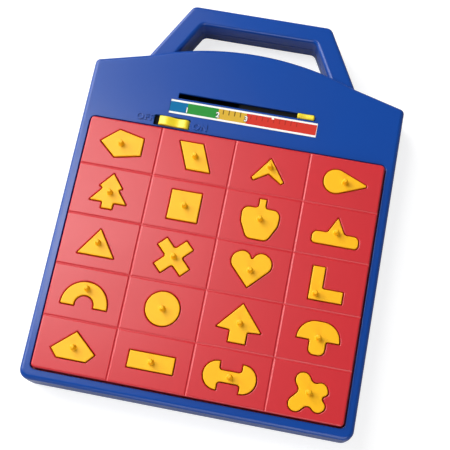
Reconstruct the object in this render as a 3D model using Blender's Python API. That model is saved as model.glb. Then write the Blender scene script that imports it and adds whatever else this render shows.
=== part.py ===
"""Pop up shape timer game.

A flat carrying case holds a spring lifted tray with twenty pockets, a seated shape piece in each
pocket, and a clockwork timer whose pointer runs along a slot above the tray. Metres, +Z up, +Y
towards the handle, +X to the right, origin on the resting plane under the middle of the case.
"""

import math

import bmesh
import bpy
from mathutils import Vector

# Clearances
GAP = 0.0003  # between faces that touch on the real object
CUT = 0.002  # how far a cutter runs past the face that it opens
BITE = 0.0008  # how far a boss or rib is sunk into the wall that carries it

# Case
CASE_WIDTH = 0.2526
CASE_LENGTH = 0.3250  # front edge to the top of the handle
CASE_HEIGHT = 0.033  # underside to the rim, without the feet
WALL = 0.0022
WALL_DRAFT = 0.0003  # each half leans in by this much from the parting line
TOP_EDGE_RADIUS = 0.0035
BOTTOM_EDGE_RADIUS = 0.0020
FRONT_CORNER_RADIUS = 0.0080
SHOULDER_CORNER_RADIUS = 0.0045
HANDLE_REACH = 0.0350  # crown of the arched edge to the top of the handle
SHOULDER_DROP = 0.0268  # crown to the outer end of the sloping shoulder
PANEL_LENGTH = 0.0760  # window to the crown
ARCH_RADIUS = 0.2360
FOOT_HEIGHT = 0.0012
FOOT_RADIUS = 0.0085
FOOT_INSET = 0.020  # foot centre in from the case's outer edges

# Handle
LEG_SPREAD = 0.0852  # half the distance between the legs' outer sides where they leave the case
GRIP_SPREAD = 0.0576  # half the length of the handle's top edge
GRIP_WIDTH = 0.0159
LEG_WIDTH = 0.0172
HANDLE_STEP = 0.0025  # the handle's faces lie this much inside the case's
HANDLE_EDGE_RADIUS = 0.0030
GRIP_OUTER_RADIUS = 0.0065
GRIP_INNER_RADIUS = 0.0050
LEG_ROOT = 0.0055  # how far the legs run on inside the case

# Tray and its cells
COLUMNS = 4
ROWS = 5
TRAY_TRIM = 0.0009  # the outer cells are shorter by this at the tray's edge
TRAY_RISE = 0.0030  # sprung up, the tray stands this much above the rim
TRAY_TRAVEL = 0.0080
TRAY_PLATE = 0.0020
TRAY_SKIRT = 0.0018
TRAY_FLANGE = 0.0030
TRAY_FLANGE_THICKNESS = 0.0020
TRAY_CORNER_RADIUS = 0.0030
TRAY_EDGE_RADIUS = 0.0014
GROOVE_WIDTH = 0.0018
GROOVE_DEPTH = 0.0012
POCKET_DEPTH = 0.0095
POCKET_WALL = 0.0013
POCKET_LEAN = 0.123  # draft of the pocket wall, sideways run for each unit of depth

# Window for the tray
WINDOW_GAP = 0.0013
WINDOW_SKIRT = 0.0008
WINDOW_SKIRT_DEPTH = 0.0060
RIM_FRONT = 0.0082  # front edge of the case to the window
RIM_SIDE = 0.0075

# Shape pieces
CELL_MARGIN = 0.0010  # a cell's shorter side is this much longer than the square of its shape
PIECE_CLEARANCE = 0.0008
FLANGE_THICKNESS = 0.0040
PLUG_HEIGHT = 0.0060
PLUG_STEP_SHARE = 0.0375  # how far the plug stands in from the flange, of the shape's square
PIECE_BEVEL = 0.0005
PEG_RADIUS = 0.0021
PEG_HEIGHT = 0.0060
PEG_TAPER = 0.0002
PEG_ROUND = 0.0008
SHARPEST_RADIUS = 0.00025

# Lift springs under the tray, at crossings of the grooves
SPRING_COLUMN_SHARE = 1.0  # column pitches out from the middle
SPRING_ROW_SHARE = 1.5  # row pitches out from the middle
SPRING_RADIUS = 0.0041
SPRING_WIRE = 0.0008
SPRING_TURNS = 5
SPRING_STEPS = 8
SPRING_POST_RADIUS = 0.0026
SPRING_POST_HEIGHT = 0.0136
TRAY_BOSS_LENGTH = 0.0172
TRAY_BOSS_WALL = 0.0014

# Timer slot, pointer and label, placed from the window's far edge
SLOT_OFFSET = 0.0289
SLOT_LEFT = 0.0531
SLOT_RIGHT = 0.0571
SLOT_WIDTH = 0.0047
POINTER_LENGTH = 0.0136
POINTER_RISE = 0.0022
LABEL_OFFSET = 0.0190
LABEL_CENTRE_X = 0.0011
LABEL_LENGTH = 0.1184
LABEL_WIDTH = 0.0118
LABEL_THICKNESS = 0.0004
LABEL_POCKET = 0.0006

# ON and OFF slide
KNOB_SLOT_LENGTH = 0.0289
KNOB_SLOT_WIDTH = 0.0087
KNOB_SLOT_CENTRE_X = -0.05385
KNOB_LENGTH = 0.0245
KNOB_RISE = 0.0029  # its top above the panel at the left end, midway in the wave
KNOB_FALL = 0.0014  # the right end is lower than the left by this
KNOB_WAVE = 0.0004  # half the height of the wave along its top
KNOB_CREST_SHARE = 0.20
KNOB_WAVE_SHARE = 0.72
KNOB_LEFT_RADIUS = 0.0012
KNOB_RIGHT_RADIUS = 0.0030
KNOB_STEPS = 16
CARRIAGE_THICKNESS = 0.0020
CARRIAGE_OVERHANG = 0.0045
ARM_THICKNESS = 0.0014
ARM_WIDTH = 0.0034

# Rack under the pointer
RACK_THICKNESS = 0.0032
RACK_BODY = 0.0085
RACK_OVERLAP = 0.0040  # rack left beyond the winding pinion's centre at each end of its run
RACK_MODULE = 0.0010
RAIL_THICKNESS = 0.0014
RAIL_DEPTH = 0.0040
RAIL_END_INSET = 0.012
RACK_POST_SPREAD = 0.0660
RACK_POST_RADIUS = 0.0025

# Clockwork
PRESSURE_ANGLE = math.radians(25)
ADDENDUM_SHARE = 0.8
DEDENDUM_SHARE = 1.1
BACKLASH_SHARE = 0.14
TRAIN_MODULE = 0.00075
WINDING_TEETH = 20
GREAT_TEETH = 40
SECOND_TEETH = 36
PINION_TEETH = 10
ESCAPE_TEETH = 20
ESCAPE_RADIUS = 0.0090
ESCAPE_ROOT_SHARE = 0.84
WHEEL_THICKNESS = 0.0022
LEVEL_GAP = 0.0013
DRUM_RADIUS = 0.0125
DRUM_WALL = 0.0012
ARBOR_RADIUS = 0.0016
STAFF_RADIUS = 0.0010
COLLAR_RADIUS = 0.0030
HUB_RADIUS = 0.0040
MAINSPRING_STRIP = 0.0005
MAINSPRING_TURNS = 3.5
MAINSPRING_STEPS = 12
SECOND_BEARING = math.radians(160)
ESCAPE_BEARING = math.radians(190)
PALLET_BEARING = math.radians(180)
PALLET_DISTANCE = 0.0126
PALLET_HUB = 0.0022
PALLET_REACH = 0.0038
PALLET_SPREAD = 0.0050
PALLET_ARM = 0.0014
FLAG_LENGTH = 0.0062
FLAG_WIDTH = 0.0016
FLAG_SWING = 0.0008  # how far the flag's end swings to each side
PLATE_THICKNESS = 0.0015
PLATE_STANDOFF = 0.0021
CLOCK_HEADROOM = 0.0048  # upper plate to the rack, for the screw heads and the switch's arm
PLATE_LEFT = 0.0560
PLATE_RIGHT = 0.0200
PLATE_FRONT_INSET = 0.0196  # plate edge in front of the barrel's arbor
PLATE_BACK_INSET = 0.0199
PLATE_CORNER_RADIUS = 0.0040
PILLAR_RADIUS = 0.0026
PILLAR_INSET = 0.0040
CLOCK_SCREW_RADIUS = 0.0011
CLOCK_SCREW_HEAD = 0.0021
CLOCK_SCREW_HEAD_HEIGHT = 0.0012

# Tray latch
LATCH_ROOM = 0.0091  # hub centre to the left of the switch's carriage
LATCH_OFFSET = 0.0131  # hub centre beyond the window's far edge
LATCH_THICKNESS = 0.0020
LATCH_HUB_RADIUS = 0.0036
LATCH_PIN_RADIUS = 0.0015
LATCH_POST_RADIUS = 0.0030
LATCH_ARM_WIDTH = 0.0036
LATCH_NOSE = 0.0180  # nose to the right of the hub
LATCH_NOSE_GAP = 0.0007
LATCH_WALL_ROOM = 0.0195  # tail in from the side wall
LATCH_TAIL_Y = 0.0152
LATCH_TAIL_RADIUS = 0.0015
LATCH_SPRING_X = 0.0140
LATCH_SPRING_Y = 0.0060
LATCH_SPRING_WIDTH = 0.0009
STOP_PIN_RADIUS = 0.0012

# Case screws and their columns
SCREW_SHANK_RADIUS = 0.0014
SCREW_HEAD_RADIUS = 0.0027
SCREW_HEAD_HEIGHT = 0.0020
SCREW_REACH = 0.0080  # shank above the parting line
COLUMN_WALL = 0.0014
COLUMN_CAP = 0.0043  # column left between the well and the parting line
COVER_BOSS_RADIUS = 0.0036
SCREW_SIDE_INSET = 0.0130
SCREW_FRONT_OFFSET = 0.0101  # beyond the window's far edge
SCREW_BACK_OFFSET = 0.0401
LEG_SCREW_SPREAD = 0.0660
LEG_SCREW_DROP = 0.0100  # below the arched edge
GRIP_SCREW_SPREAD = 0.0460

# Ribs, tabs
RIB_THICKNESS = 0.0014
RIB_HEIGHT = 0.0040
RIB_ROW_SHARES = (-2.0, 0.0, 2.0)  # row pitches from the tray's middle
RIB_COLUMN_SHARES = (-0.5, 0.5)  # column pitches from the middle
TAB_WIDTH = 0.0100
TAB_THICKNESS = 0.0014
TAB_DROP = 0.0050
TAB_SPREAD = 0.0700
TAB_GAP = 0.0004

# Facets
FACET_SAG = 0.00040  # largest distance between a rounded corner and its facets
ROUND_SHARE = 0.97  # largest share of an edge that the rounding at its two ends takes
ARCH_STEPS = 12
EDGE_STEPS = 3
ROUND_SIDES = 10
SHAFT_SIDES = 8
SMOOTH_ANGLE = math.radians(35)

# Heights worked out from the sizes above
FLOOR_Z = FOOT_HEIGHT + WALL
PARTING_Z = FOOT_HEIGHT + CASE_HEIGHT / 2
CASE_TOP_Z = FOOT_HEIGHT + CASE_HEIGHT
CEILING_Z = CASE_TOP_Z - WALL
HANDLE_TOP_Z = CASE_TOP_Z - HANDLE_STEP
HANDLE_BOTTOM_Z = FOOT_HEIGHT + HANDLE_STEP
TRAY_TOP_Z = CASE_TOP_Z + TRAY_RISE
TRAY_FLANGE_TOP_Z = CASE_TOP_Z - WINDOW_SKIRT_DEPTH - GAP
TRAY_BOTTOM_Z = TRAY_FLANGE_TOP_Z - TRAY_FLANGE_THICKNESS
POCKET_FLOOR_Z = TRAY_TOP_Z - POCKET_DEPTH
PIECE_HEIGHT = PLUG_HEIGHT + FLANGE_THICKNESS
RACK_TOP_Z = CEILING_Z - GAP
RACK_BOTTOM_Z = RACK_TOP_Z - RACK_THICKNESS
LOWER_PLATE_Z = FLOOR_Z + PLATE_STANDOFF
LOWER_PLATE_TOP_Z = LOWER_PLATE_Z + PLATE_THICKNESS
BARREL_Z = LOWER_PLATE_TOP_Z + LEVEL_GAP
UPPER_PLATE_TOP_Z = RACK_BOTTOM_Z - CLOCK_HEADROOM
UPPER_PLATE_Z = UPPER_PLATE_TOP_Z - PLATE_THICKNESS
SECOND_WHEEL_TOP_Z = UPPER_PLATE_Z - LEVEL_GAP
SECOND_WHEEL_Z = SECOND_WHEEL_TOP_Z - WHEEL_THICKNESS
GREAT_WHEEL_TOP_Z = SECOND_WHEEL_Z - LEVEL_GAP
GREAT_WHEEL_Z = GREAT_WHEEL_TOP_Z - WHEEL_THICKNESS
DRUM_HEIGHT = GREAT_WHEEL_Z - BARREL_Z
ARM_Z = UPPER_PLATE_TOP_Z + LEVEL_GAP
ARM_TOP_Z = ARM_Z + ARM_THICKNESS
LATCH_Z = TRAY_FLANGE_TOP_Z - TRAY_TRAVEL + GAP
WELL_TOP_Z = PARTING_Z - COLUMN_CAP

# Places in plan worked out from the sizes above
FRONT_Y = -CASE_LENGTH / 2
HANDLE_END_Y = CASE_LENGTH / 2
ARCH_REACH = CASE_LENGTH - HANDLE_REACH
SHOULDER_REACH = ARCH_REACH - SHOULDER_DROP
WINDOW_WIDTH = CASE_WIDTH - 2 * RIM_SIDE
WINDOW_LENGTH = ARCH_REACH - PANEL_LENGTH - RIM_FRONT
TRAY_WIDTH = WINDOW_WIDTH - 2 * WINDOW_GAP
TRAY_LENGTH = WINDOW_LENGTH - 2 * WINDOW_GAP
COLUMN_PITCH = (TRAY_WIDTH + 2 * TRAY_TRIM) / COLUMNS
ROW_PITCH = (TRAY_LENGTH + 2 * TRAY_TRIM) / ROWS
SHAPE_SPAN = min(COLUMN_PITCH, ROW_PITCH) - CELL_MARGIN  # side of the square that a shape is drawn in
PLUG_STEP = PLUG_STEP_SHARE * SHAPE_SPAN
TRAY_CENTRE_Y = FRONT_Y + RIM_FRONT + WINDOW_LENGTH / 2
WINDOW_FAR_Y = TRAY_CENTRE_Y + WINDOW_LENGTH / 2
SHOULDER_Y = FRONT_Y + SHOULDER_REACH
ARCH_CENTRE_Y = FRONT_Y + ARCH_REACH - ARCH_RADIUS
LEG_FOOT_Y = ARCH_CENTRE_Y + math.sqrt(ARCH_RADIUS**2 - LEG_SPREAD**2)
LEG_SLOPE = (LEG_SPREAD - GRIP_SPREAD) / (HANDLE_END_Y - LEG_FOOT_Y)
SLOT_Y = WINDOW_FAR_Y + SLOT_OFFSET
LABEL_Y = WINDOW_FAR_Y + LABEL_OFFSET
KNOB_Y = WINDOW_FAR_Y + WINDOW_SKIRT + GAP + KNOB_SLOT_WIDTH / 2
KNOB_X = KNOB_SLOT_CENTRE_X + (KNOB_SLOT_LENGTH - KNOB_LENGTH) / 2 - GAP
POINTER_X = SLOT_RIGHT - GAP - POINTER_LENGTH / 2
POINTER_TRAVEL = SLOT_LEFT + SLOT_RIGHT - 2 * GAP - POINTER_LENGTH
SWITCH_TRAVEL = KNOB_SLOT_LENGTH - KNOB_LENGTH - 2 * GAP
RACK_BODY_BACK_Y = SLOT_Y + RACK_BODY / 2
RACK_PITCH_Y = RACK_BODY_BACK_Y + DEDENDUM_SHARE * RACK_MODULE
WINDING_RADIUS = RACK_MODULE * WINDING_TEETH / 2
GREAT_RADIUS = TRAIN_MODULE * GREAT_TEETH / 2
SECOND_RADIUS = TRAIN_MODULE * SECOND_TEETH / 2
PINION_RADIUS = TRAIN_MODULE * PINION_TEETH / 2
SPRING_LENGTH = TRAY_TOP_Z - TRAY_PLATE - FLOOR_Z - 2 * GAP


def polar(origin, distance, bearing):
    """Point at a distance and bearing from another."""
    return (origin[0] + distance * math.cos(bearing), origin[1] + distance * math.sin(bearing))


BARREL_AT = (0.0, RACK_PITCH_Y + WINDING_RADIUS)
SECOND_AT = polar(BARREL_AT, GREAT_RADIUS + PINION_RADIUS, SECOND_BEARING)
ESCAPE_AT = polar(SECOND_AT, SECOND_RADIUS + PINION_RADIUS, ESCAPE_BEARING)
PALLET_AT = polar(ESCAPE_AT, PALLET_DISTANCE, PALLET_BEARING)
CARRIAGE_HALF = KNOB_SLOT_LENGTH / 2 + CARRIAGE_OVERHANG
LATCH_AT = (KNOB_X - CARRIAGE_HALF - LATCH_ROOM, WINDOW_FAR_Y + LATCH_OFFSET)
LATCH_TAIL_X = LATCH_WALL_ROOM + WALL + WALL_DRAFT - CASE_WIDTH / 2
PLATE_FRONT_Y = BARREL_AT[1] - PLATE_FRONT_INSET
PLATE_BACK_Y = BARREL_AT[1] + PLATE_BACK_INSET


# Colours as linear values, with roughness
FINISHES = {
    "case_blue": ((0.013, 0.080, 0.352), 0.42),
    "tray_red": ((0.680, 0.037, 0.045), 0.40),
    "piece_yellow": ((0.983, 0.497, 0.006), 0.42),
    "lemon_yellow": ((0.880, 0.680, 0.020), 0.38),
    "label_print": ((0.760, 0.060, 0.030), 0.50),
    "clock_nylon": ((0.780, 0.760, 0.690), 0.45),
    "clock_black": ((0.020, 0.020, 0.022), 0.50),
    "spring_steel": ((0.560, 0.560, 0.580), 0.30),
}
METALS = {"spring_steel"}


# Outlines are lists of corners (x, y, radius), anticlockwise seen from above

def move_corners(corners, inset):
    """Shift every edge inwards by the inset and return the new corner points."""
    count = len(corners)
    moved = []
    for index in range(count):
        before = Vector(corners[index - 1][:2])
        here = Vector(corners[index][:2])
        after = Vector(corners[(index + 1) % count][:2])
        edge_in = (here - before).normalized()
        edge_out = (after - here).normalized()
        normal_in = Vector((-edge_in.y, edge_in.x))
        normal_out = Vector((-edge_out.y, edge_out.x))
        moved.append(here + (normal_in + normal_out) * inset / (1 + normal_in.dot(normal_out)))
    return moved


def outline(corners, inset=0.0):
    """Round the corners of an inset outline; the number of points doesn't depend on the inset."""
    count = len(corners)
    places = move_corners(corners, inset)
    turns = []
    reaches = []
    for index in range(count):
        edge_in = places[index] - places[index - 1]
        edge_out = places[(index + 1) % count] - places[index]
        turn = math.atan2(edge_in.x * edge_out.y - edge_in.y * edge_out.x, edge_in.dot(edge_out))
        radius = corners[index][2]
        if radius > 0 and turn > 0:
            radius = max(radius - inset, SHARPEST_RADIUS)
        elif radius > 0:
            radius = max(radius + inset, SHARPEST_RADIUS)
        turns.append(turn)
        reaches.append(radius * math.tan(abs(turn) / 2))
    limits = [1.0] * count
    for index in range(count):
        following = (index + 1) % count
        length = (places[following] - places[index]).length
        wanted = reaches[index] + reaches[following]
        if wanted > length * ROUND_SHARE:
            limits[index] = min(limits[index], length * ROUND_SHARE / wanted)
            limits[following] = min(limits[following], length * ROUND_SHARE / wanted)
    points = []
    for index in range(count):
        nominal = corners[index][2]
        turn = turns[index]
        here = places[index]
        if nominal == 0:
            points.append((here.x, here.y))
            continue
        step = 2 * math.acos(1 - min(FACET_SAG / nominal, 1.0))
        pieces = math.ceil(abs(turn) / step)
        reach = reaches[index] * limits[index]
        radius = reach / math.tan(abs(turn) / 2)
        back = (places[index - 1] - here).normalized()
        ahead = (places[(index + 1) % count] - here).normalized()
        centre = here + (back + ahead).normalized() * radius / math.cos(turn / 2)
        spoke = here + back * reach - centre
        start = math.atan2(spoke.y, spoke.x)
        for part in range(pieces + 1):
            angle = start + turn * part / pieces
            points.append((centre.x + radius * math.cos(angle), centre.y + radius * math.sin(angle)))
    return points


def box_corners(x0, x1, y0, y1, radius=0.0):
    """Corners of a rectangle."""
    return [(x0, y0, radius), (x1, y0, radius), (x1, y1, radius), (x0, y1, radius)]


def centred_box(width, length, radius=0.0, centre=(0.0, 0.0)):
    """Corners of a rectangle about a centre."""
    x, y = centre
    return box_corners(x - width / 2, x + width / 2, y - length / 2, y + length / 2, radius)


def circle(radius, centre=(0.0, 0.0), sides=ROUND_SIDES):
    """Points on a circle."""
    return [polar(centre, radius, 2 * math.pi * side / sides) for side in range(sides)]


def mirrored(half):
    """Close an outline whose right half runs from the bottom middle to the top middle."""
    left = [(-x, y, radius) for x, y, radius in reversed(half) if x > 0]
    return list(half) + left


# Solids

def clear_scene():
    """Remove everything that the file starts with."""
    for item in list(bpy.data.objects):
        bpy.data.objects.remove(item, do_unlink=True)


def finish(name):
    """Material with the colour and roughness of one finish."""
    found = bpy.data.materials.get(name)
    if found:
        return found
    colour, roughness = FINISHES[name]
    made = bpy.data.materials.new(name)
    made.use_nodes = True
    shader = made.node_tree.nodes["Principled BSDF"]
    shader.inputs["Base Color"].default_value = (*colour, 1.0)
    shader.inputs["Roughness"].default_value = roughness
    shader.inputs["Metallic"].default_value = 1.0 if name in METALS else 0.0
    made.diffuse_color = (*colour, 1.0)
    return made


def solid(name, points, faces):
    """Object from points and faces."""
    mesh = bpy.data.meshes.new(name)
    mesh.from_pydata(points, [], faces)
    mesh.update()
    made = bpy.data.objects.new(name, mesh)
    bpy.context.collection.objects.link(made)
    return made


def loft(levels, name="tool"):
    """Closed solid through outlines with equal counts, given as (points, z) from low to high."""
    count = len(levels[0][0])
    points = [(x, y, z) for ring, z in levels for x, y in ring]
    faces = [tuple(range(count - 1, -1, -1))]
    for level in range(len(levels) - 1):
        low = level * count
        high = low + count
        for index in range(count):
            following = (index + 1) % count
            faces.append((low + index, low + following, high + following, high + index))
    top = (len(levels) - 1) * count
    faces.append(tuple(range(top, top + count)))
    return solid(name, points, faces)


def prism(points, low, high, name="tool"):
    """Straight extrusion of an outline."""
    return loft([(points, low), (points, high)], name)


def block(x0, x1, y0, y1, low, high):
    """Plain box used as a rib, bar or cutter."""
    return prism(outline(box_corners(x0, x1, y0, y1)), low, high)


def column(radius, low, high, centre=(0.0, 0.0), sides=ROUND_SIDES):
    """Upright cylinder."""
    return prism(circle(radius, centre, sides), low, high)


def turned(profile, centre=(0.0, 0.0), sides=ROUND_SIDES, name="tool"):
    """Solid of revolution from (radius, z) pairs, low to high."""
    return loft([(circle(radius, centre, sides), z) for radius, z in profile], name)


def gather(tools):
    """Join solids that don't touch into one tool."""
    mesh = bmesh.new()
    for tool in tools:
        mesh.from_mesh(tool.data)
    joined = bpy.data.meshes.new("tool")
    mesh.to_mesh(joined)
    mesh.free()
    first = tools[0]
    first.data = joined
    for tool in tools[1:]:
        bpy.data.objects.remove(tool, do_unlink=True)
    return first


def combine(target, tools, operation):
    """Apply one Boolean for each tool and remove the tools."""
    for tool in tools:
        step = target.modifiers.new(operation, "BOOLEAN")
        step.operation = operation
        step.solver = "EXACT"
        step.object = tool
    graph = bpy.context.evaluated_depsgraph_get()
    result = bpy.data.meshes.new_from_object(target.evaluated_get(graph))
    target.modifiers.clear()
    target.data = result
    for tool in tools:
        bpy.data.objects.remove(tool, do_unlink=True)


def add(target, tools):
    """Fuse tools with the target."""
    combine(target, tools, "UNION")


def cut(target, tools):
    """Cut tools out of the target."""
    combine(target, tools, "DIFFERENCE")


def dress(item, name, finish_name, place=(0.0, 0.0, 0.0)):
    """Name an object, give it its finish and smooth shading, and put it in its place."""
    item.name = name
    item.data.name = name
    item.data.materials.clear()
    item.data.materials.append(finish(finish_name))
    item.data.shade_smooth()
    item.data.set_sharp_from_angle(angle=SMOOTH_ANGLE)
    item.location = place
    return item


# Case

def case_corners():
    """Outline of the case without its handle."""
    half = CASE_WIDTH / 2
    corners = [
        (-half, FRONT_Y, FRONT_CORNER_RADIUS),
        (half, FRONT_Y, FRONT_CORNER_RADIUS),
        (half, SHOULDER_Y, SHOULDER_CORNER_RADIUS),
    ]
    sweep = math.asin(LEG_SPREAD / ARCH_RADIUS)
    for step in range(ARCH_STEPS + 1):
        angle = sweep - 2 * sweep * step / ARCH_STEPS
        x = ARCH_RADIUS * math.sin(angle)
        corners.append((x, ARCH_CENTRE_Y + ARCH_RADIUS * math.cos(angle), 0.0))
    corners.append((-half, SHOULDER_Y, SHOULDER_CORNER_RADIUS))
    return corners


def leg_outside(y):
    """Distance of a leg's outer side from the middle."""
    return GRIP_SPREAD + (HANDLE_END_Y - y) * LEG_SLOPE


def leg_inside(y):
    """Distance of a leg's inner side from the middle."""
    return leg_outside(y) - LEG_WIDTH * math.sqrt(1 + LEG_SLOPE**2)


def handle_corners():
    """Outline of the handle, legs and grip, with the legs run on into the case."""
    root = LEG_FOOT_Y - LEG_ROOT
    inner = HANDLE_END_Y - GRIP_WIDTH
    return [
        (leg_outside(root), root, 0.0),
        (GRIP_SPREAD, HANDLE_END_Y, GRIP_OUTER_RADIUS),
        (-GRIP_SPREAD, HANDLE_END_Y, GRIP_OUTER_RADIUS),
        (-leg_outside(root), root, 0.0),
        (-leg_inside(root), root, 0.0),
        (-leg_inside(inner), inner, GRIP_INNER_RADIUS),
        (leg_inside(inner), inner, GRIP_INNER_RADIUS),
        (leg_inside(root), root, 0.0),
    ]


def edge_levels(parting, end, radius):
    """Inset and height of each level from the parting line to a rounded end face."""
    direction = 1 if end > parting else -1
    levels = [(0.0, parting)]
    for step in range(EDGE_STEPS + 1):
        angle = math.pi / 2 * step / EDGE_STEPS
        inset = WALL_DRAFT + radius * (1 - math.cos(angle))
        levels.append((inset, end - direction * radius * (1 - math.sin(angle))))
    return levels if direction > 0 else levels[::-1]


def half_shell(parting, end, edge_radius, handle_end):
    """One half of the case and handle, hollowed to the wall thickness."""
    inwards = 1 if end > parting else -1
    body = loft([(outline(case_corners(), inset), z) for inset, z in edge_levels(parting, end, edge_radius)])
    grip_levels = edge_levels(parting, handle_end, HANDLE_EDGE_RADIUS)
    add(body, [loft([(outline(handle_corners(), inset), z) for inset, z in grip_levels])])
    opening = parting - inwards * CUT
    hollows = []
    for corners, floor in ((case_corners(), end), (handle_corners(), handle_end)):
        inside = outline(corners, WALL + WALL_DRAFT)
        low, high = sorted((opening, floor - inwards * WALL))
        hollows.append(prism(inside, low, high))
    cut(body, hollows)
    return body


def screw_places():
    """Centres of the eight screws that hold the case together."""
    side = CASE_WIDTH / 2 - SCREW_SIDE_INSET
    leg_y = ARCH_CENTRE_Y + math.sqrt(ARCH_RADIUS**2 - LEG_SCREW_SPREAD**2) - LEG_SCREW_DROP
    right = [
        (side, WINDOW_FAR_Y + SCREW_FRONT_OFFSET),
        (side, WINDOW_FAR_Y + SCREW_BACK_OFFSET),
        (LEG_SCREW_SPREAD, leg_y),
        (GRIP_SCREW_SPREAD, HANDLE_END_Y - GRIP_WIDTH / 2),
    ]
    return right + [(-x, y) for x, y in right]


def window_corners(widen=0.0):
    """Outline of the window for the tray."""
    radius = TRAY_CORNER_RADIUS + WINDOW_GAP + widen
    return centred_box(WINDOW_WIDTH + 2 * widen, WINDOW_LENGTH + 2 * widen, radius, (0.0, TRAY_CENTRE_Y))


def tab_tools():
    """Tabs under the front of the cover that locate it in the base."""
    inner = FRONT_Y + WALL + WALL_DRAFT + TAB_GAP
    tabs = []
    for x in (-TAB_SPREAD, 0.0, TAB_SPREAD):
        low = PARTING_Z - TAB_DROP
        high = PARTING_Z + TAB_DROP
        left = x - TAB_WIDTH / 2
        right = x + TAB_WIDTH / 2
        tab = block(left, right, inner, inner + TAB_THICKNESS, low, high)
        root = inner - TAB_GAP - WALL_DRAFT - BITE
        middle = PARTING_Z + TAB_DROP / 2
        add(tab, [block(left + BITE, right - BITE, root, inner + BITE, middle, high - BITE)])
        tabs.append(tab)
    return tabs


def make_top_cover():
    """Upper half of the case with the window, the slots, its bosses and its rails."""
    cover = half_shell(PARTING_Z + GAP / 2, CASE_TOP_Z, TOP_EDGE_RADIUS, HANDLE_TOP_Z)
    skirt = prism(outline(window_corners(WINDOW_SKIRT)), CASE_TOP_Z - WINDOW_SKIRT_DEPTH, CEILING_Z + BITE)
    bosses = []
    for x, y in screw_places():
        top = HANDLE_TOP_Z if y > LEG_FOOT_Y + LEG_ROOT else CASE_TOP_Z
        bosses.append(column(COVER_BOSS_RADIUS, PARTING_Z + GAP / 2, top - WALL + BITE, (x, y)))
    rail_half = CASE_WIDTH / 2 - RAIL_END_INSET - SCREW_SIDE_INSET
    rail_y = SLOT_Y - RACK_BODY / 2 - GAP
    rail_low = CEILING_Z - RAIL_DEPTH
    rail = block(-rail_half, rail_half, rail_y - RAIL_THICKNESS, rail_y, rail_low, CEILING_Z + BITE)
    add(cover, [skirt, gather(bosses), rail, gather(tab_tools())])
    window = prism(outline(window_corners()), PARTING_Z, CASE_TOP_Z + CUT)
    slot = box_corners(-SLOT_LEFT, SLOT_RIGHT, SLOT_Y - SLOT_WIDTH / 2, SLOT_Y + SLOT_WIDTH / 2)
    knob_slot = centred_box(KNOB_SLOT_LENGTH, KNOB_SLOT_WIDTH, 0.0, (KNOB_SLOT_CENTRE_X, KNOB_Y))
    label = centred_box(LABEL_LENGTH + 2 * GAP, LABEL_WIDTH + 2 * GAP, 0.0, (LABEL_CENTRE_X, LABEL_Y))
    pilots = []
    for place in screw_places():
        hole = SCREW_SHANK_RADIUS + GAP
        pilots.append(column(hole, PARTING_Z - CUT, PARTING_Z + SCREW_REACH + BITE, place, SHAFT_SIDES))
    cut(cover, [
        window,
        prism(outline(slot), CEILING_Z - CUT, CASE_TOP_Z + CUT),
        prism(outline(knob_slot), CEILING_Z - CUT, CASE_TOP_Z + CUT),
        prism(outline(label), CASE_TOP_Z - LABEL_POCKET, CASE_TOP_Z + CUT),
        gather(pilots),
    ])
    return dress(cover, "top_cover", "case_blue")


def spring_places():
    """Centres of the four lift springs."""
    x = SPRING_COLUMN_SHARE * COLUMN_PITCH
    y = SPRING_ROW_SHARE * ROW_PITCH
    return [(-x, TRAY_CENTRE_Y - y), (x, TRAY_CENTRE_Y - y), (-x, TRAY_CENTRE_Y + y), (x, TRAY_CENTRE_Y + y)]


def pillar_places():
    """Centres of the four pillars of the clockwork."""
    left = -PLATE_LEFT + PILLAR_INSET
    right = PLATE_RIGHT - PILLAR_INSET
    front = PLATE_FRONT_Y + PILLAR_INSET
    back = PLATE_BACK_Y - PILLAR_INSET
    return [(left, front), (right, front), (right, back), (left, back)]


def base_posts():
    """Posts that stand on the floor and carry the inner pieces."""
    low = FLOOR_Z - BITE
    posts = []
    for place in spring_places():
        posts.append(column(SPRING_POST_RADIUS, low, FLOOR_Z + SPRING_POST_HEIGHT, place))
    for place in pillar_places():
        posts.append(column(PILLAR_RADIUS, low, LOWER_PLATE_Z - GAP, place))
    posts.append(turned([
        (LATCH_POST_RADIUS, low),
        (LATCH_POST_RADIUS, LATCH_Z - GAP),
        (LATCH_PIN_RADIUS, LATCH_Z - GAP),
        (LATCH_PIN_RADIUS, LATCH_Z + LATCH_THICKNESS + LEVEL_GAP),
    ], LATCH_AT))
    stop_x = LATCH_AT[0] + LATCH_SPRING_X
    stop_y = LATCH_AT[1] + LATCH_SPRING_Y + STOP_PIN_RADIUS + LATCH_SPRING_WIDTH
    posts.append(column(STOP_PIN_RADIUS, low, LATCH_Z + LATCH_THICKNESS, (stop_x, stop_y)))
    for x in (-RACK_POST_SPREAD, RACK_POST_SPREAD):
        posts.append(column(RACK_POST_RADIUS, low, RACK_BOTTOM_Z - GAP, (x, SLOT_Y)))
    carriage_bottom = RACK_TOP_Z - CARRIAGE_THICKNESS
    posts.append(column(RACK_POST_RADIUS, low, carriage_bottom - GAP, (KNOB_SLOT_CENTRE_X, KNOB_Y)))
    return posts


def base_ribs():
    """Stiffening ribs on the floor under the tray."""
    half_x = CASE_WIDTH / 2 - WALL
    half_rib = RIB_THICKNESS / 2
    low = FLOOR_Z - BITE
    high = FLOOR_Z + RIB_HEIGHT
    along = []
    for share in RIB_ROW_SHARES:
        y = TRAY_CENTRE_Y + share * ROW_PITCH
        along.append(block(-half_x, half_x, y - half_rib, y + half_rib, low, high))
    across = []
    for share in RIB_COLUMN_SHARES:
        x = share * COLUMN_PITCH
        front = FRONT_Y + WALL
        across.append(block(x - half_rib, x + half_rib, front, WINDOW_FAR_Y, low, high - BITE))
    return gather(along), gather(across)


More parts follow.
